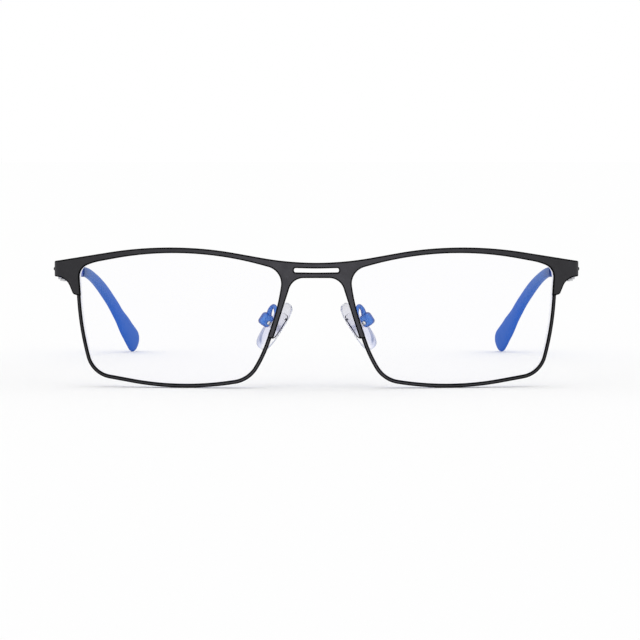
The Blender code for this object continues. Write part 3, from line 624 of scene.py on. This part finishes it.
def build_hinge():
    """Front leaf with two knuckles, temple leaf with one between them, and their screw."""
    clear = KNUCKLE_RADIUS + 0.1
    front = box("right_hinge_front_leaf_look", (LEAF_INNER, -FRONT_LEAF_LENGTH, -LEAF_HALF_HEIGHT),
                (LEAF_OUTER, 0.0, LEAF_HALF_HEIGHT))
    front = combined(front, rod("barrel", KNUCKLE_RADIUS, -KNUCKLE_REACH, KNUCKLE_REACH), "UNION")
    front = cut_between(front, -KNUCKLE_SPLIT - 0.05, KNUCKLE_SPLIT + 0.05, -clear, 2.0)
    front = combined(front, rod("bore", HINGE_BORE, -4.0, 4.0), "DIFFERENCE")
    temple = box("right_hinge_temple_leaf_look", (LEAF_INNER, 0.0, -LEAF_HALF_HEIGHT),
                 (LEAF_OUTER, TEMPLE_LEAF_LENGTH, LEAF_HALF_HEIGHT))
    temple = cut_between(temple, KNUCKLE_SPLIT, 4.0, -1.0, clear)
    temple = cut_between(temple, -4.0, -KNUCKLE_SPLIT, -1.0, clear)
    temple = combined(temple, rod("barrel", KNUCKLE_RADIUS, -KNUCKLE_SPLIT, KNUCKLE_SPLIT), "UNION")
    temple = combined(temple, rod("bore", HINGE_BORE, -4.0, 4.0), "DIFFERENCE")
    screw = slotted_screw("right_hinge_screw_look", 0.92, 0.42, shank_radius=0.55, length=4.95)
    screw = placed(screw, hinge_place() @ Matrix.Translation((0.0, 0.0, KNUCKLE_REACH + 0.03)))
    leaves = [placed(softened(leaf, 0.07, 2), hinge_place()) for leaf in (front, temple)]
    return leaves + [screw]


def build_rivet():
    """Small domed head on the outer side of the end piece."""
    profile = [(0.0, RIVET_HEIGHT)]
    for angle in (20.0, 40.0, 60.0, 80.0, 90.0):
        turn = math.radians(angle)
        profile.append((RIVET_RADIUS * math.sin(turn), RIVET_HEIGHT * (0.3 + 0.7 * math.cos(turn))))
    profile += [(RIVET_RADIUS, 0.02), (RIVET_SHANK, 0.02), (RIVET_SHANK, -RIVET_LENGTH), (0.0, -RIVET_LENGTH)]
    rivet = turned("right_hinge_rivet_look", profile, 40)
    return placed(rivet, Matrix.Translation(RIVET_PLACE) @ Matrix.Rotation(math.pi / 2, 4, "Y"))


# ---------------------------------------------------------------- temple

def ramp(table, fraction):
    """Value at a fraction of the way through a table, eased between its rows."""
    for (low, first), (high, second) in zip(table, table[1:]):
        if fraction <= high:
            t = (fraction - low) / (high - low)
            t = t * t * (3.0 - 2.0 * t)
            return first + (second - first) * t
    return table[-1][1]


def path_stations():
    """Points along the temple's side view, each with its direction and the distance to it."""
    points = rounded(TEMPLE_PATH, closed=False)
    stations = []
    travelled = 0.0
    for index, point in enumerate(points):
        if index:
            travelled += (point - points[index - 1]).length
        before = points[max(0, index - 1)]
        after = points[min(len(points) - 1, index + 1)]
        stations.append((point, (after - before).normalized(), travelled))
    return stations


STATIONS = path_stations()
TIP_START = (TIP_START_Y - TEMPLE_PATH[0][0]) / math.cos(TEMPLE_SLOPE)


def path_at(length):
    """Place and direction in side view at a distance along the temple."""
    for (first, along, start), (second, along_next, end) in zip(STATIONS, STATIONS[1:]):
        if length <= end:
            t = (length - start) / (end - start)
            return first.lerp(second, t), along.lerp(along_next, t).normalized()
    point, along, total = STATIONS[-1]
    return point + along * (length - total), along


def strip(stations):
    """Side view outline of the arm from distances along it and half heights there."""
    upper = []
    lower = []
    for length, half in stations:
        centre, along = path_at(length)
        normal = Vector((-along.y, along.x))
        upper.append(centre + normal * half)
        lower.append(centre - normal * half)
    return lower + list(reversed(upper))


def build_temple_arm():
    """Thin arm that narrows to a core inside the tip."""
    shoulder = TIP_START - 0.1
    stations = [*ARM_STATIONS, (shoulder, ARM_BACK_HALF)]
    core = steps_between(shoulder + 0.01, shoulder + CORE_LENGTH, 1.0)
    stations += [(length, CORE_HALF) for length in core]
    arm = slab("right_temple_arm_look", [strip(stations)], -SHEET / 2, SHEET / 2, EDGE_ROUNDING)
    arm = sliced(faces_marked(arm), steps_between(BOW_START, BOW_START + 39.0, 1.0))
    return bent(arm, bow_point)


def tip_ring(length, half_height, half_thickness):
    """Section of the tip at a distance along the temple."""
    centre, along = path_at(length)
    normal = Vector((-along.y, along.x))
    ring = []
    for across, up in superellipse(half_thickness, half_height, TIP_POWER, 48):
        place = centre + normal * up
        ring.append((place.x, across, place.y))
    return ring


def build_temple_tip():
    """Tip that swells towards its rounded end."""
    total = STATIONS[-1][2]
    rings = [tip_ring(TIP_START, 1.38, 0.76), tip_ring(TIP_START + 0.04, 1.47, 0.85)]
    for length in steps_between(TIP_START + 0.15, total, 1.0):
        fraction = (length - TIP_START) / (total - TIP_START)
        rings.append(tip_ring(length, ramp(TIP_SIDE_HALVES, fraction), ramp(TIP_THICKNESS_HALVES, fraction)))
    end_half = TIP_SIDE_HALVES[-1][1]
    end_thickness = TIP_THICKNESS_HALVES[-1][1]
    for angle in range(6, 90, 6):
        turn = math.radians(angle)
        share = math.cos(turn) ** 0.8
        reach = total + TIP_END_LENGTH * math.sin(turn)
        rings.append(tip_ring(reach, end_half * share, end_thickness * share ** 0.75))
    return bent(loft("right_temple_tip_look", rings), bow_point)


# ---------------------------------------------------------------- nose pad

def pad_place():
    """Pad axes: X along its length, Y along its width to the back, Z towards the nose."""
    length = Vector((-math.sin(PAD_LEAN), 0.0, math.cos(PAD_LEAN)))
    outwards = Vector((math.cos(PAD_LEAN), 0.0, math.sin(PAD_LEAN)))
    back = Vector((0.0, 1.0, 0.0))
    width = outwards * math.sin(PAD_SPLAY) + back * math.cos(PAD_SPLAY)
    nose = back * math.sin(PAD_SPLAY) - outwards * math.cos(PAD_SPLAY)
    return Matrix.Translation(PAD_CENTRE) @ Matrix((length, width, nose)).transposed().to_4x4()


def headed_forwards():
    """Turns a piece's Z axis to run forwards across the pad."""
    return Matrix.Rotation(math.pi / 2, 4, "X")


def pad_outline(half_length, half_width):
    """Outline of the pad, straighter along its front side and wider at its lower end."""
    front = superellipse(half_length, half_width - PAD_FRONT_INSET, 3.1, 72)
    back = superellipse(half_length, half_width - PAD_BACK_INSET, 2.35, 72)
    ring = [(a, b * (1.0 - 0.045 * (a + 2.0))) for a, b in back[:36]]
    return ring + [(a, b * (1.0 - 0.012 * (a + 2.0))) for a, b in front[36:]]


def build_pad():
    """Soft pad, thickest in the middle, with a rounded edge."""
    rings = []
    for angle in range(-84, 85, 8):
        turn = math.radians(angle)
        height = PAD_HALF_THICKNESS * math.copysign(abs(math.sin(turn)) ** 0.75, turn)
        inset = PAD_EDGE_INSET * (1 - math.cos(turn) ** 0.55)
        outline = pad_outline(PAD_HALF_LENGTH - inset, PAD_HALF_WIDTH - inset)
        rings.append([(a, b, height) for a, b in outline])
    return placed(loft("right_nose_pad_look", rings), pad_place())


def axis_rod(name, radius, half_length):
    """Rod along the pad's tilt axis."""
    turn = Matrix.Translation((0.0, 0.0, PAD_AXIS_N)) @ headed_forwards()
    return placed(rod(name, radius, -half_length, half_length), turn)


def build_pad_mount():
    """Metal plate inside the pad, with a stem behind it, an eye on the tilt axis and a small dark pin; the
    pin and the edges take the second slot, which is painted shade.
    """
    along, across = INSERT_PLACE
    shape = superellipse(INSERT_HALF_LENGTH, INSERT_HALF_WIDTH, 3.5, 72)
    outline = [Vector((a + along, b + across)) for a, b in shape]
    insert = slab("right_pad_mount_look", [outline], -INSERT_HALF_THICKNESS, INSERT_HALF_THICKNESS, 0.08)
    insert = placed(insert, Matrix.Translation((0.0, 0.0, INSERT_N)) @ headed_forwards())
    # dark pin: painted shade that stands in for a hole through the plate
    stud = placed(rod("stud", 0.3, 0.2, 0.95), Matrix.Translation((3.2, -1.75, 0.0)))
    insert = combined(insert, stud, "UNION")
    stem = box("stem", (-EYE_RADIUS, -EYE_HALF_WIDTH, PAD_AXIS_N), (EYE_RADIUS, EYE_HALF_WIDTH, 0.5))
    mount = combined(insert, stem, "UNION")
    mount = combined(mount, axis_rod("eye", EYE_RADIUS, EYE_HALF_WIDTH), "UNION")
    mount = combined(mount, axis_rod("hole", PAD_BORE, 3.0), "DIFFERENCE")
    # slot 1, painted shade, on the edges and the pin; slot 0 on the broad faces and hidden parts
    for face in mount.data.polygons:
        broad = abs(face.normal.z) > 0.9 and abs(face.center.z - INSERT_N) < 0.2
        hidden = face.center.z < 0.3 or face.center.x < -2.8
        face.material_index = 0 if broad or hidden else 1
    return placed(mount, pad_place())


def build_pad_box():
    """Rounded cup on the end of the pad arm, slotted for the mount's eye."""
    cup = softened(box("right_pad_box_look", CUP_LOW, CUP_HIGH), 1.0, 8)
    slot = box("slot", (-4.0, -CUP_SLOT_HALF, CUP_LOW.z + CUP_WALL), (4.0, CUP_SLOT_HALF, -0.3))
    cup = combined(cup, slot, "DIFFERENCE")
    cup = combined(cup, axis_rod("bore", PAD_BORE, 3.0), "DIFFERENCE")
    return placed(cup, pad_place())


def build_pad_screw():
    """Pin of the tilt axis, its slotted head against the front of the cup."""
    screw = slotted_screw("right_pad_screw_look", 0.55, 0.4, shank_radius=0.45, length=2.5)
    place = Matrix.Translation((0.0, CUP_LOW.y - 0.02, PAD_AXIS_N)) @ headed_forwards()
    return placed(screw, pad_place() @ place)


# ---------------------------------------------------------------- finishes

WHITE = (1.0, 1.0, 1.0, 1.0)
# painted shade of the pad's crease
PAD_CREASE_SHADE = (0.25, 0.3, 0.45, 1.0)
# painted shade at the pad's outline
PAD_EDGE_SHADE = (0.66, 0.68, 0.74, 1.0)


def linear(red, green, blue):
    """Scene colour from a display colour of 0 to 255."""
    values = []
    for value in (red, green, blue):
        share = value / 255.0
        values.append(share / 12.92 if share <= 0.04045 else ((share + 0.055) / 1.055) ** 2.4)
    return (*values, 1.0)


class Finish:
    """A material's node tree with short ways to add nodes."""

    def __init__(self, name):
        self.material = bpy.data.materials.new(name)
        self.material.use_nodes = True
        self.tree = self.material.node_tree
        self.shader = self.tree.nodes["Principled BSDF"]
        self.output = self.tree.nodes["Material Output"]

    def node(self, kind, **settings):
        """New node with some of its settings."""
        made = self.tree.nodes.new(kind)
        for key, value in settings.items():
            setattr(made, key, value)
        return made

    def link(self, start, end):
        """Joins an output to an input."""
        self.tree.links.new(start, end)

    def surface(self, name, value):
        """Feeds one of the shader's inputs."""
        self.link(value, self.shader.inputs[name])

    def place(self):
        """Place on the object, in metres."""
        return self.node("ShaderNodeTexCoord").outputs["Object"]

    def split(self, vector):
        """Outputs X, Y and Z of a vector."""
        split = self.node("ShaderNodeSeparateXYZ")
        self.link(vector, split.inputs["Vector"])
        return split.outputs

    def facing(self):
        """0 where the surface faces the eye, 1 where it is edge on."""
        weight = self.node("ShaderNodeLayerWeight")
        weight.inputs["Blend"].default_value = 0.5
        return weight.outputs["Facing"]

    def noise(self, scale, detail=3.0, stretch=(1.0, 1.0, 1.0)):
        """Noise on the object's own coordinates."""
        mapping = self.node("ShaderNodeMapping")
        mapping.inputs["Scale"].default_value = stretch
        noise = self.node("ShaderNodeTexNoise")
        noise.inputs["Scale"].default_value = scale
        noise.inputs["Detail"].default_value = detail
        self.link(self.place(), mapping.inputs["Vector"])
        self.link(mapping.outputs["Vector"], noise.inputs["Vector"])
        return noise.outputs["Fac"]

    def ramp(self, factor, stops):
        """Colour from a factor, through stops of position and colour."""
        ramp = self.node("ShaderNodeValToRGB")
        elements = ramp.color_ramp.elements
        while len(elements) < len(stops):
            elements.new(0.5)
        for element, (position, colour) in zip(elements, stops):
            element.position = position
            element.color = colour
        self.link(factor, ramp.inputs["Fac"])
        return ramp.outputs["Color"]

    def clouds(self, factor, dark, light):
        """Colour that drifts from dark to light with some noise."""
        return self.ramp(factor, ((0.3, dark), (0.7, light)))

    def spread(self, factor, low, high, from_low=0.3, from_high=0.7):
        """Takes a factor from one range to another, held at its ends."""
        spread = self.node("ShaderNodeMapRange")
        settings = {"From Min": from_low, "From Max": from_high, "To Min": low, "To Max": high}
        for socket, value in settings.items():
            spread.inputs[socket].default_value = value
        self.link(factor, spread.inputs["Value"])
        return spread.outputs["Result"]

    def product(self, first, second):
        """Two factors multiplied."""
        product = self.node("ShaderNodeMath", operation="MULTIPLY")
        self.link(first, product.inputs[0])
        self.link(second, product.inputs[1])
        return product.outputs["Value"]

    def multiplied(self, first, second):
        """Two colours multiplied."""
        mix = self.node("ShaderNodeMix", data_type="RGBA", blend_type="MULTIPLY")
        mix.inputs["Factor"].default_value = 1.0
        self.link(first, mix.inputs["A"])
        self.link(second, mix.inputs["B"])
        return mix.outputs["Result"]

    def bump(self, height, strength, distance):
        """Fine relief on the surface."""
        bump = self.node("ShaderNodeBump")
        bump.inputs["Strength"].default_value = strength
        bump.inputs["Distance"].default_value = distance
        self.link(height, bump.inputs["Height"])
        self.surface("Normal", bump.outputs["Normal"])


def enamel(name, dark, light, roughness, specular, end_shade=1.0):
    """Satin enamel on metal, with its colour multiplied by a painted shade that darkens it towards the ends
    of the front.
    """
    finish = Finish(name)
    colour = finish.clouds(finish.noise(300.0), dark, light)
    sideways = finish.node("ShaderNodeMath", operation="ABSOLUTE")
    finish.link(finish.split(finish.place())["X"], sideways.inputs[0])
    # painted shade: darker towards the ends of the front, where it curves away from the light
    shade = finish.spread(sideways.outputs["Value"], 1.0, end_shade, 0.012, 0.062)
    finish.surface("Base Color", finish.multiplied(colour, shade))
    fine = finish.noise(9000.0, 2.0)
    finish.surface("Roughness", finish.spread(fine, roughness - 0.05, roughness + 0.05))
    finish.shader.inputs["Specular IOR Level"].default_value = specular
    finish.bump(fine, 0.04, 0.00002)
    return finish.material


def steel(name, dark, light, grain, edge=1.0):
    """Bare steel, with its colour multiplied by the edge value where it turns away: painted shade round its
    rim.
    """
    finish = Finish(name)
    brushed = finish.noise(grain, 3.0, (1.0, 1.0, 6.0))
    colour = finish.clouds(brushed, (dark, dark, dark + 0.01, 1.0), (light, light, light + 0.01, 1.0))
    # painted shade: darker where the surface turns edge on
    grazing_shade = finish.ramp(finish.facing(), ((0.12, WHITE), (0.4, (edge, edge, edge, 1.0))))
    finish.surface("Base Color", finish.multiplied(colour, grazing_shade))
    finish.surface("Roughness", finish.spread(brushed, 0.2, 0.36))
    finish.shader.inputs["Metallic"].default_value = 1.0
    return finish.material


def blue_enamel():
    """Glossy blue enamel of the pad arms and boxes, with painted shade darkening it where the surface turns
    edge on.
    """
    finish = Finish("pad_arm_blue_enamel_look")
    cloudy = finish.noise(1200.0)
    colour = finish.clouds(cloudy, linear(50, 112, 206), linear(76, 138, 222))
    # painted shade: dark blue outline where the surface turns away from the eye
    rim = finish.ramp(finish.facing(), ((0.15, WHITE), (0.6, (0.1, 0.18, 0.42, 1.0))))
    finish.surface("Base Color", finish.multiplied(colour, rim))
    finish.surface("Roughness", finish.spread(cloudy, 0.2, 0.3))
    finish.shader.inputs["Coat Weight"].default_value = 0.4
    return finish.material


def blue_tip():
    """Blue tip: painted shade makes it darkest at its mouth, a painted sheen makes it palest just behind it,
    and it is deeper blue from there on.
    """
    finish = Finish("tip_blue_look")
    along = finish.spread(finish.split(finish.place())["Y"], 0.0, 1.0, 0.0156, 0.0680)
    # painted shade at the mouth, painted sheen just behind it; the later stops are the tip's own blue
    tip_colour_shade_and_sheen = (
        (0.0, linear(48, 78, 136)), (0.22, linear(72, 110, 181)),
        (0.7, linear(49, 99, 193)), (1.0, linear(57, 102, 188)),
    )
    finish.surface("Base Color", finish.ramp(along, tip_colour_shade_and_sheen))
    fine = finish.noise(5000.0, 2.0)
    finish.surface("Roughness", finish.spread(fine, 0.38, 0.48))
    finish.shader.inputs["Specular IOR Level"].default_value = 0.06
    finish.bump(fine, 0.08, 0.00003)
    return finish.material


def lens_glass():
    """Coated lens: seen through, with a faint blue-violet reflection that grows towards grazing angles."""
    finish = Finish("lens_clear_look")
    clear = finish.node("ShaderNodeBsdfTransparent")
    clear.inputs["Color"].default_value = (0.998, 0.997, 1.0, 1.0)
    gloss = finish.node("ShaderNodeBsdfGlossy")
    gloss.inputs["Roughness"].default_value = 0.02
    coating = finish.clouds(finish.noise(40.0), linear(130, 140, 255), linear(170, 190, 255))
    finish.link(coating, gloss.inputs["Color"])
    grazing = finish.node("ShaderNodeMath", operation="POWER")
    grazing.inputs[1].default_value = 4.0
    finish.link(finish.facing(), grazing.inputs[0])
    mix = finish.node("ShaderNodeMixShader")
    finish.link(finish.spread(grazing.outputs["Value"], 0.003, 0.15, 0.0, 1.0), mix.inputs["Fac"])
    finish.link(clear.outputs["BSDF"], mix.inputs[1])
    finish.link(gloss.outputs["BSDF"], mix.inputs[2])
    finish.link(mix.outputs["Shader"], finish.output.inputs["Surface"])
    finish.tree.nodes.remove(finish.shader)
    return finish.material


def lens_edge():
    """Ground edge of the lens: white and matt."""
    finish = Finish("lens_edge_ground")
    ground = finish.noise(6000.0, 2.0)
    finish.surface("Base Color", finish.clouds(ground, linear(244, 244, 246), linear(252, 252, 254)))
    finish.surface("Roughness", finish.spread(ground, 0.55, 0.75))
    return finish.material


def pad_coordinates(finish):
    """Place seen from the front in the nearer pad's own axes, 1 at its rim: X outwards, Z along it."""
    either_side = finish.node("ShaderNodeVectorMath", operation="ABSOLUTE")
    finish.link(finish.place(), either_side.inputs[0])
    local = finish.node("ShaderNodeMapping", vector_type="TEXTURE")
    middle = (PAD_CENTRE.x * METRES, 0.0, (PAD_CENTRE.z + LIFT_Z) * METRES)
    local.inputs["Location"].default_value = middle
    local.inputs["Rotation"].default_value = (0.0, -PAD_LEAN, 0.0)
    local.inputs["Scale"].default_value = (0.00235, 1.0, PAD_HALF_LENGTH * METRES)
    finish.link(either_side.outputs["Vector"], local.inputs["Vector"])
    return local.outputs["Vector"]


def pad_tint_and_highlight(finish, sides):
    """Violet tint, greyer at the top; a painted highlight takes the tint out low on the inner side, so that
    it looks clear white there.
    """
    height = finish.spread(finish.split(finish.place())["Z"], 0.0, 1.0, 0.0105, 0.0225)
    stops = ((0.0, linear(222, 226, 246)), (0.5, linear(234, 234, 246)), (1.0, linear(226, 226, 228)))
    # painted highlight: white low on the inner side
    inner = finish.spread(sides["X"], 1.0, 0.0, -0.35, 0.05)
    low = finish.spread(sides["Z"], 1.0, 0.0, -0.25, 0.0)
    tint = finish.node("ShaderNodeMix", data_type="RGBA")
    finish.link(finish.product(inner, low), tint.inputs["Factor"])
    finish.link(finish.ramp(height, stops), tint.inputs["A"])
    tint.inputs["B"].default_value = WHITE
    return tint.outputs["Result"]


def pad_crease_shade(finish, sides, reach):
    """Painted shade of a crease: dark line a little inside the pad's rim, on its outer side and lower half.
    """
    outer = finish.spread(sides["X"], 0.0, 1.0, 0.1, 0.35)
    lower = finish.spread(sides["Z"], 1.0, 0.0, 0.0, 0.3)
    stops = ((0.75, WHITE), (0.79, PAD_CREASE_SHADE), (0.86, PAD_CREASE_SHADE), (0.9, WHITE))
    crease = finish.node("ShaderNodeMix", data_type="RGBA")
    finish.link(finish.product(outer, lower), crease.inputs["Factor"])
    crease.inputs["A"].default_value = WHITE
    finish.link(finish.ramp(reach, stops), crease.inputs["B"])
    return crease.outputs["Result"]


def silicone():
    """Clear soft pad with a faint tint, a painted highlight, a painted crease shade and painted shade at its
    rim.
    """
    finish = Finish("pad_silicone_look")
    local = pad_coordinates(finish)
    sides = finish.split(local)
    length = finish.node("ShaderNodeVectorMath", operation="LENGTH")
    finish.link(local, length.inputs[0])
    reach = length.outputs["Value"]
    # painted shade: greyer towards the pad's outline
    rim = finish.ramp(reach, ((0.94, WHITE), (0.99, PAD_EDGE_SHADE)))
    outline = finish.multiplied(pad_crease_shade(finish, sides, reach), rim)
    finish.surface("Base Color", finish.multiplied(pad_tint_and_highlight(finish, sides), outline))
    finish.surface("Roughness", finish.spread(finish.noise(700.0), 0.04, 0.1))
    finish.shader.inputs["Transmission Weight"].default_value = 0.95
    finish.shader.inputs["IOR"].default_value = 1.12
    return finish.material


# Face copy of the black enamel, with painted shade towards the ends of the front (0.45).
BLACK_FACE = enamel("frame_black_face", linear(52, 51, 56), linear(62, 61, 66), 0.5, 0.28, 0.45)
# Edge copy of the same black enamel, near black: painted shade on the rounded edges of plate, rims and arms,
# and on the rivet.
EDGE_SHADE_BLACK = enamel("frame_black_edge_shade", linear(9, 9, 10), linear(14, 14, 15), 0.6, 0.02)
INNER_BLUE = enamel("frame_inner_blue", linear(34, 62, 168), linear(44, 78, 184), 0.35, 0.3)
BLACK = (BLACK_FACE, EDGE_SHADE_BLACK, INNER_BLUE)
# Dark copy for the insert's edges and pin: painted shade where the steel shows through the pad as a dark
# line.
INSERT_EDGE_SHADE = enamel("insert_edge_shade", linear(36, 37, 42), linear(52, 53, 58), 0.5, 0.2)
STEEL = steel("nickel_steel", 0.42, 0.66, 3000.0)
BRIGHT_STEEL = steel("polished_steel", 0.9, 0.94, 200.0)
# Pad screw steel with painted shade at its rim (0.12).
SCREW_STEEL = steel("pad_screw_steel", 0.92, 0.96, 200.0, 0.12)
ARM_BLUE = blue_enamel()
TIP_BLUE = blue_tip()
LENS = lens_glass()
LENS_EDGE = lens_edge()
SILICONE = silicone()


# ---------------------------------------------------------------- assembly

def finished(piece, materials, body, node, angle=35.0):
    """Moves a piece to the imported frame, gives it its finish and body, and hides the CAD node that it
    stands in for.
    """
    lift = Matrix.Translation((0.0, FRONT_Y * METRES, LIFT_Z * METRES))
    piece.data.transform(lift @ Matrix.Scale(METRES, 4))
    slots = [face.material_index for face in piece.data.polygons]
    piece.data.materials.clear()
    for material in materials:
        piece.data.materials.append(material)
    piece.data.polygons.foreach_set("material_index", slots)
    piece.data.shade_smooth()
    piece.data.set_sharp_from_angle(angle=math.radians(angle))
    weighted = piece.modifiers.new("even_shading", "WEIGHTED_NORMAL")
    weighted.keep_sharp = True
    weighted.weight = 80
    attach(piece, body)
    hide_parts(node)


def mirrored(piece, name):
    """Copy of a right piece for the left side."""
    mesh = piece.data.copy()
    mesh.transform(Matrix.Scale(-1.0, 4, (1.0, 0.0, 0.0)))
    return cleaned(new_object(name, mesh))


def build_side():
    """Right side's pieces, each with its materials, slot and body."""
    upper, lower, lock_screw = build_lock()
    front_leaf, temple_leaf, hinge_screw = build_hinge()
    arm = wire("right_pad_arm_look", PAD_ARM_PATH, PAD_ARM_RADII)
    return (
        (build_rim(), BLACK, "frame_black_enamel", "front"),
        (build_lens(), (LENS, LENS_EDGE), "lens_clear", "front"),
        (upper, (BLACK_FACE,), "frame_black_enamel", "front"),
        (lower, (BLACK_FACE,), "frame_black_enamel", "front"),
        (lock_screw, (STEEL,), "hinge_nickel_steel", "front"),
        (front_leaf, (STEEL,), "hinge_nickel_steel", "front"),
        (temple_leaf, (STEEL,), "hinge_nickel_steel", "temple"),
        (hinge_screw, (STEEL,), "hinge_nickel_steel", "front"),
        (build_rivet(), (EDGE_SHADE_BLACK,), "frame_black_enamel", "front"),
        (build_temple_arm(), BLACK, "frame_black_enamel", "temple"),
        (build_temple_tip(), (TIP_BLUE,), "tip_blue_acetate", "temple"),
        (arm, (ARM_BLUE,), "pad_arm_blue_enamel", "front"),
        (build_pad_box(), (ARM_BLUE,), "pad_arm_blue_enamel", "front"),
        (build_pad_screw(), (SCREW_STEEL,), "hinge_nickel_steel", "front"),
        (build_pad_mount(), (BRIGHT_STEEL, INSERT_EDGE_SHADE), "hinge_nickel_steel", "pad"),
        (build_pad(), (SILICONE,), "pad_clear_silicone", "pad"),
    )


finished(build_plate(), BLACK, "front", "front_plate", 50.0)
for piece, materials, slot, body in build_side():
    twin = mirrored(piece, piece.name.replace("right_", "left_"))
    for made, side in ((piece, "right"), (twin, "left")):
        made_body = body if body == "front" else f"{body}_{side}"
        finished(made, materials, made_body, made.name.removesuffix("_look"))


# ---------------------------------------------------------------- stage

def build_floor():
    """Plain pale floor just under the glasses."""
    corners = [(across * FLOOR_HALF, back * FLOOR_HALF, FLOOR_Z)
               for across, back in ((-1.0, -1.0), (1.0, -1.0), (1.0, 1.0), (-1.0, 1.0))]
    mesh = bpy.data.meshes.new("floor")
    mesh.from_pydata(corners, [], [(0, 1, 2, 3)])
    floor = new_object("floor", mesh)
    finish = Finish("pale_floor")
    finish.shader.inputs["Base Color"].default_value = (0.93, 0.93, 0.93, 1.0)
    finish.shader.inputs["Roughness"].default_value = 1.0
    finish.shader.inputs["Specular IOR Level"].default_value = 0.0
    mesh.materials.append(finish.material)


def light_room():
    """Even white light from all round, and a broad soft light from above."""
    world = bpy.data.worlds.new("white_room")
    world.use_nodes = True
    background = world.node_tree.nodes["Background"]
    background.inputs["Color"].default_value = WHITE
    background.inputs["Strength"].default_value = 1.0
    bpy.context.scene.world = world
    data = bpy.data.lights.new("overhead", "SUN")
    data.energy = 0.21
    data.angle = math.radians(45.0)
    light = new_object("overhead", data)
    light.location = Vector((0.0, -0.05, 1.0))
    light.rotation_euler = light.location.to_track_quat("Z", "Y").to_euler()


def add_camera():
    """Long view from the front, a little above the glasses."""
    data = bpy.data.cameras.new("camera")
    data.sensor_width = SENSOR_WIDTH
    data.lens = FOCAL_LENGTH
    data.clip_start = 0.01
    camera = new_object("camera", data)
    place = Vector((CAMERA_SIDE, FRONT_Y - CAMERA_DISTANCE, CAMERA_HEIGHT + LIFT_Z))
    camera.location = place * METRES
    camera.rotation_euler = (math.radians(90.0 - CAMERA_PITCH), 0.0, 0.0)
    bpy.context.scene.camera = camera


build_floor()
light_room()
add_camera()
bpy.context.scene.view_settings.view_transform = "Standard"
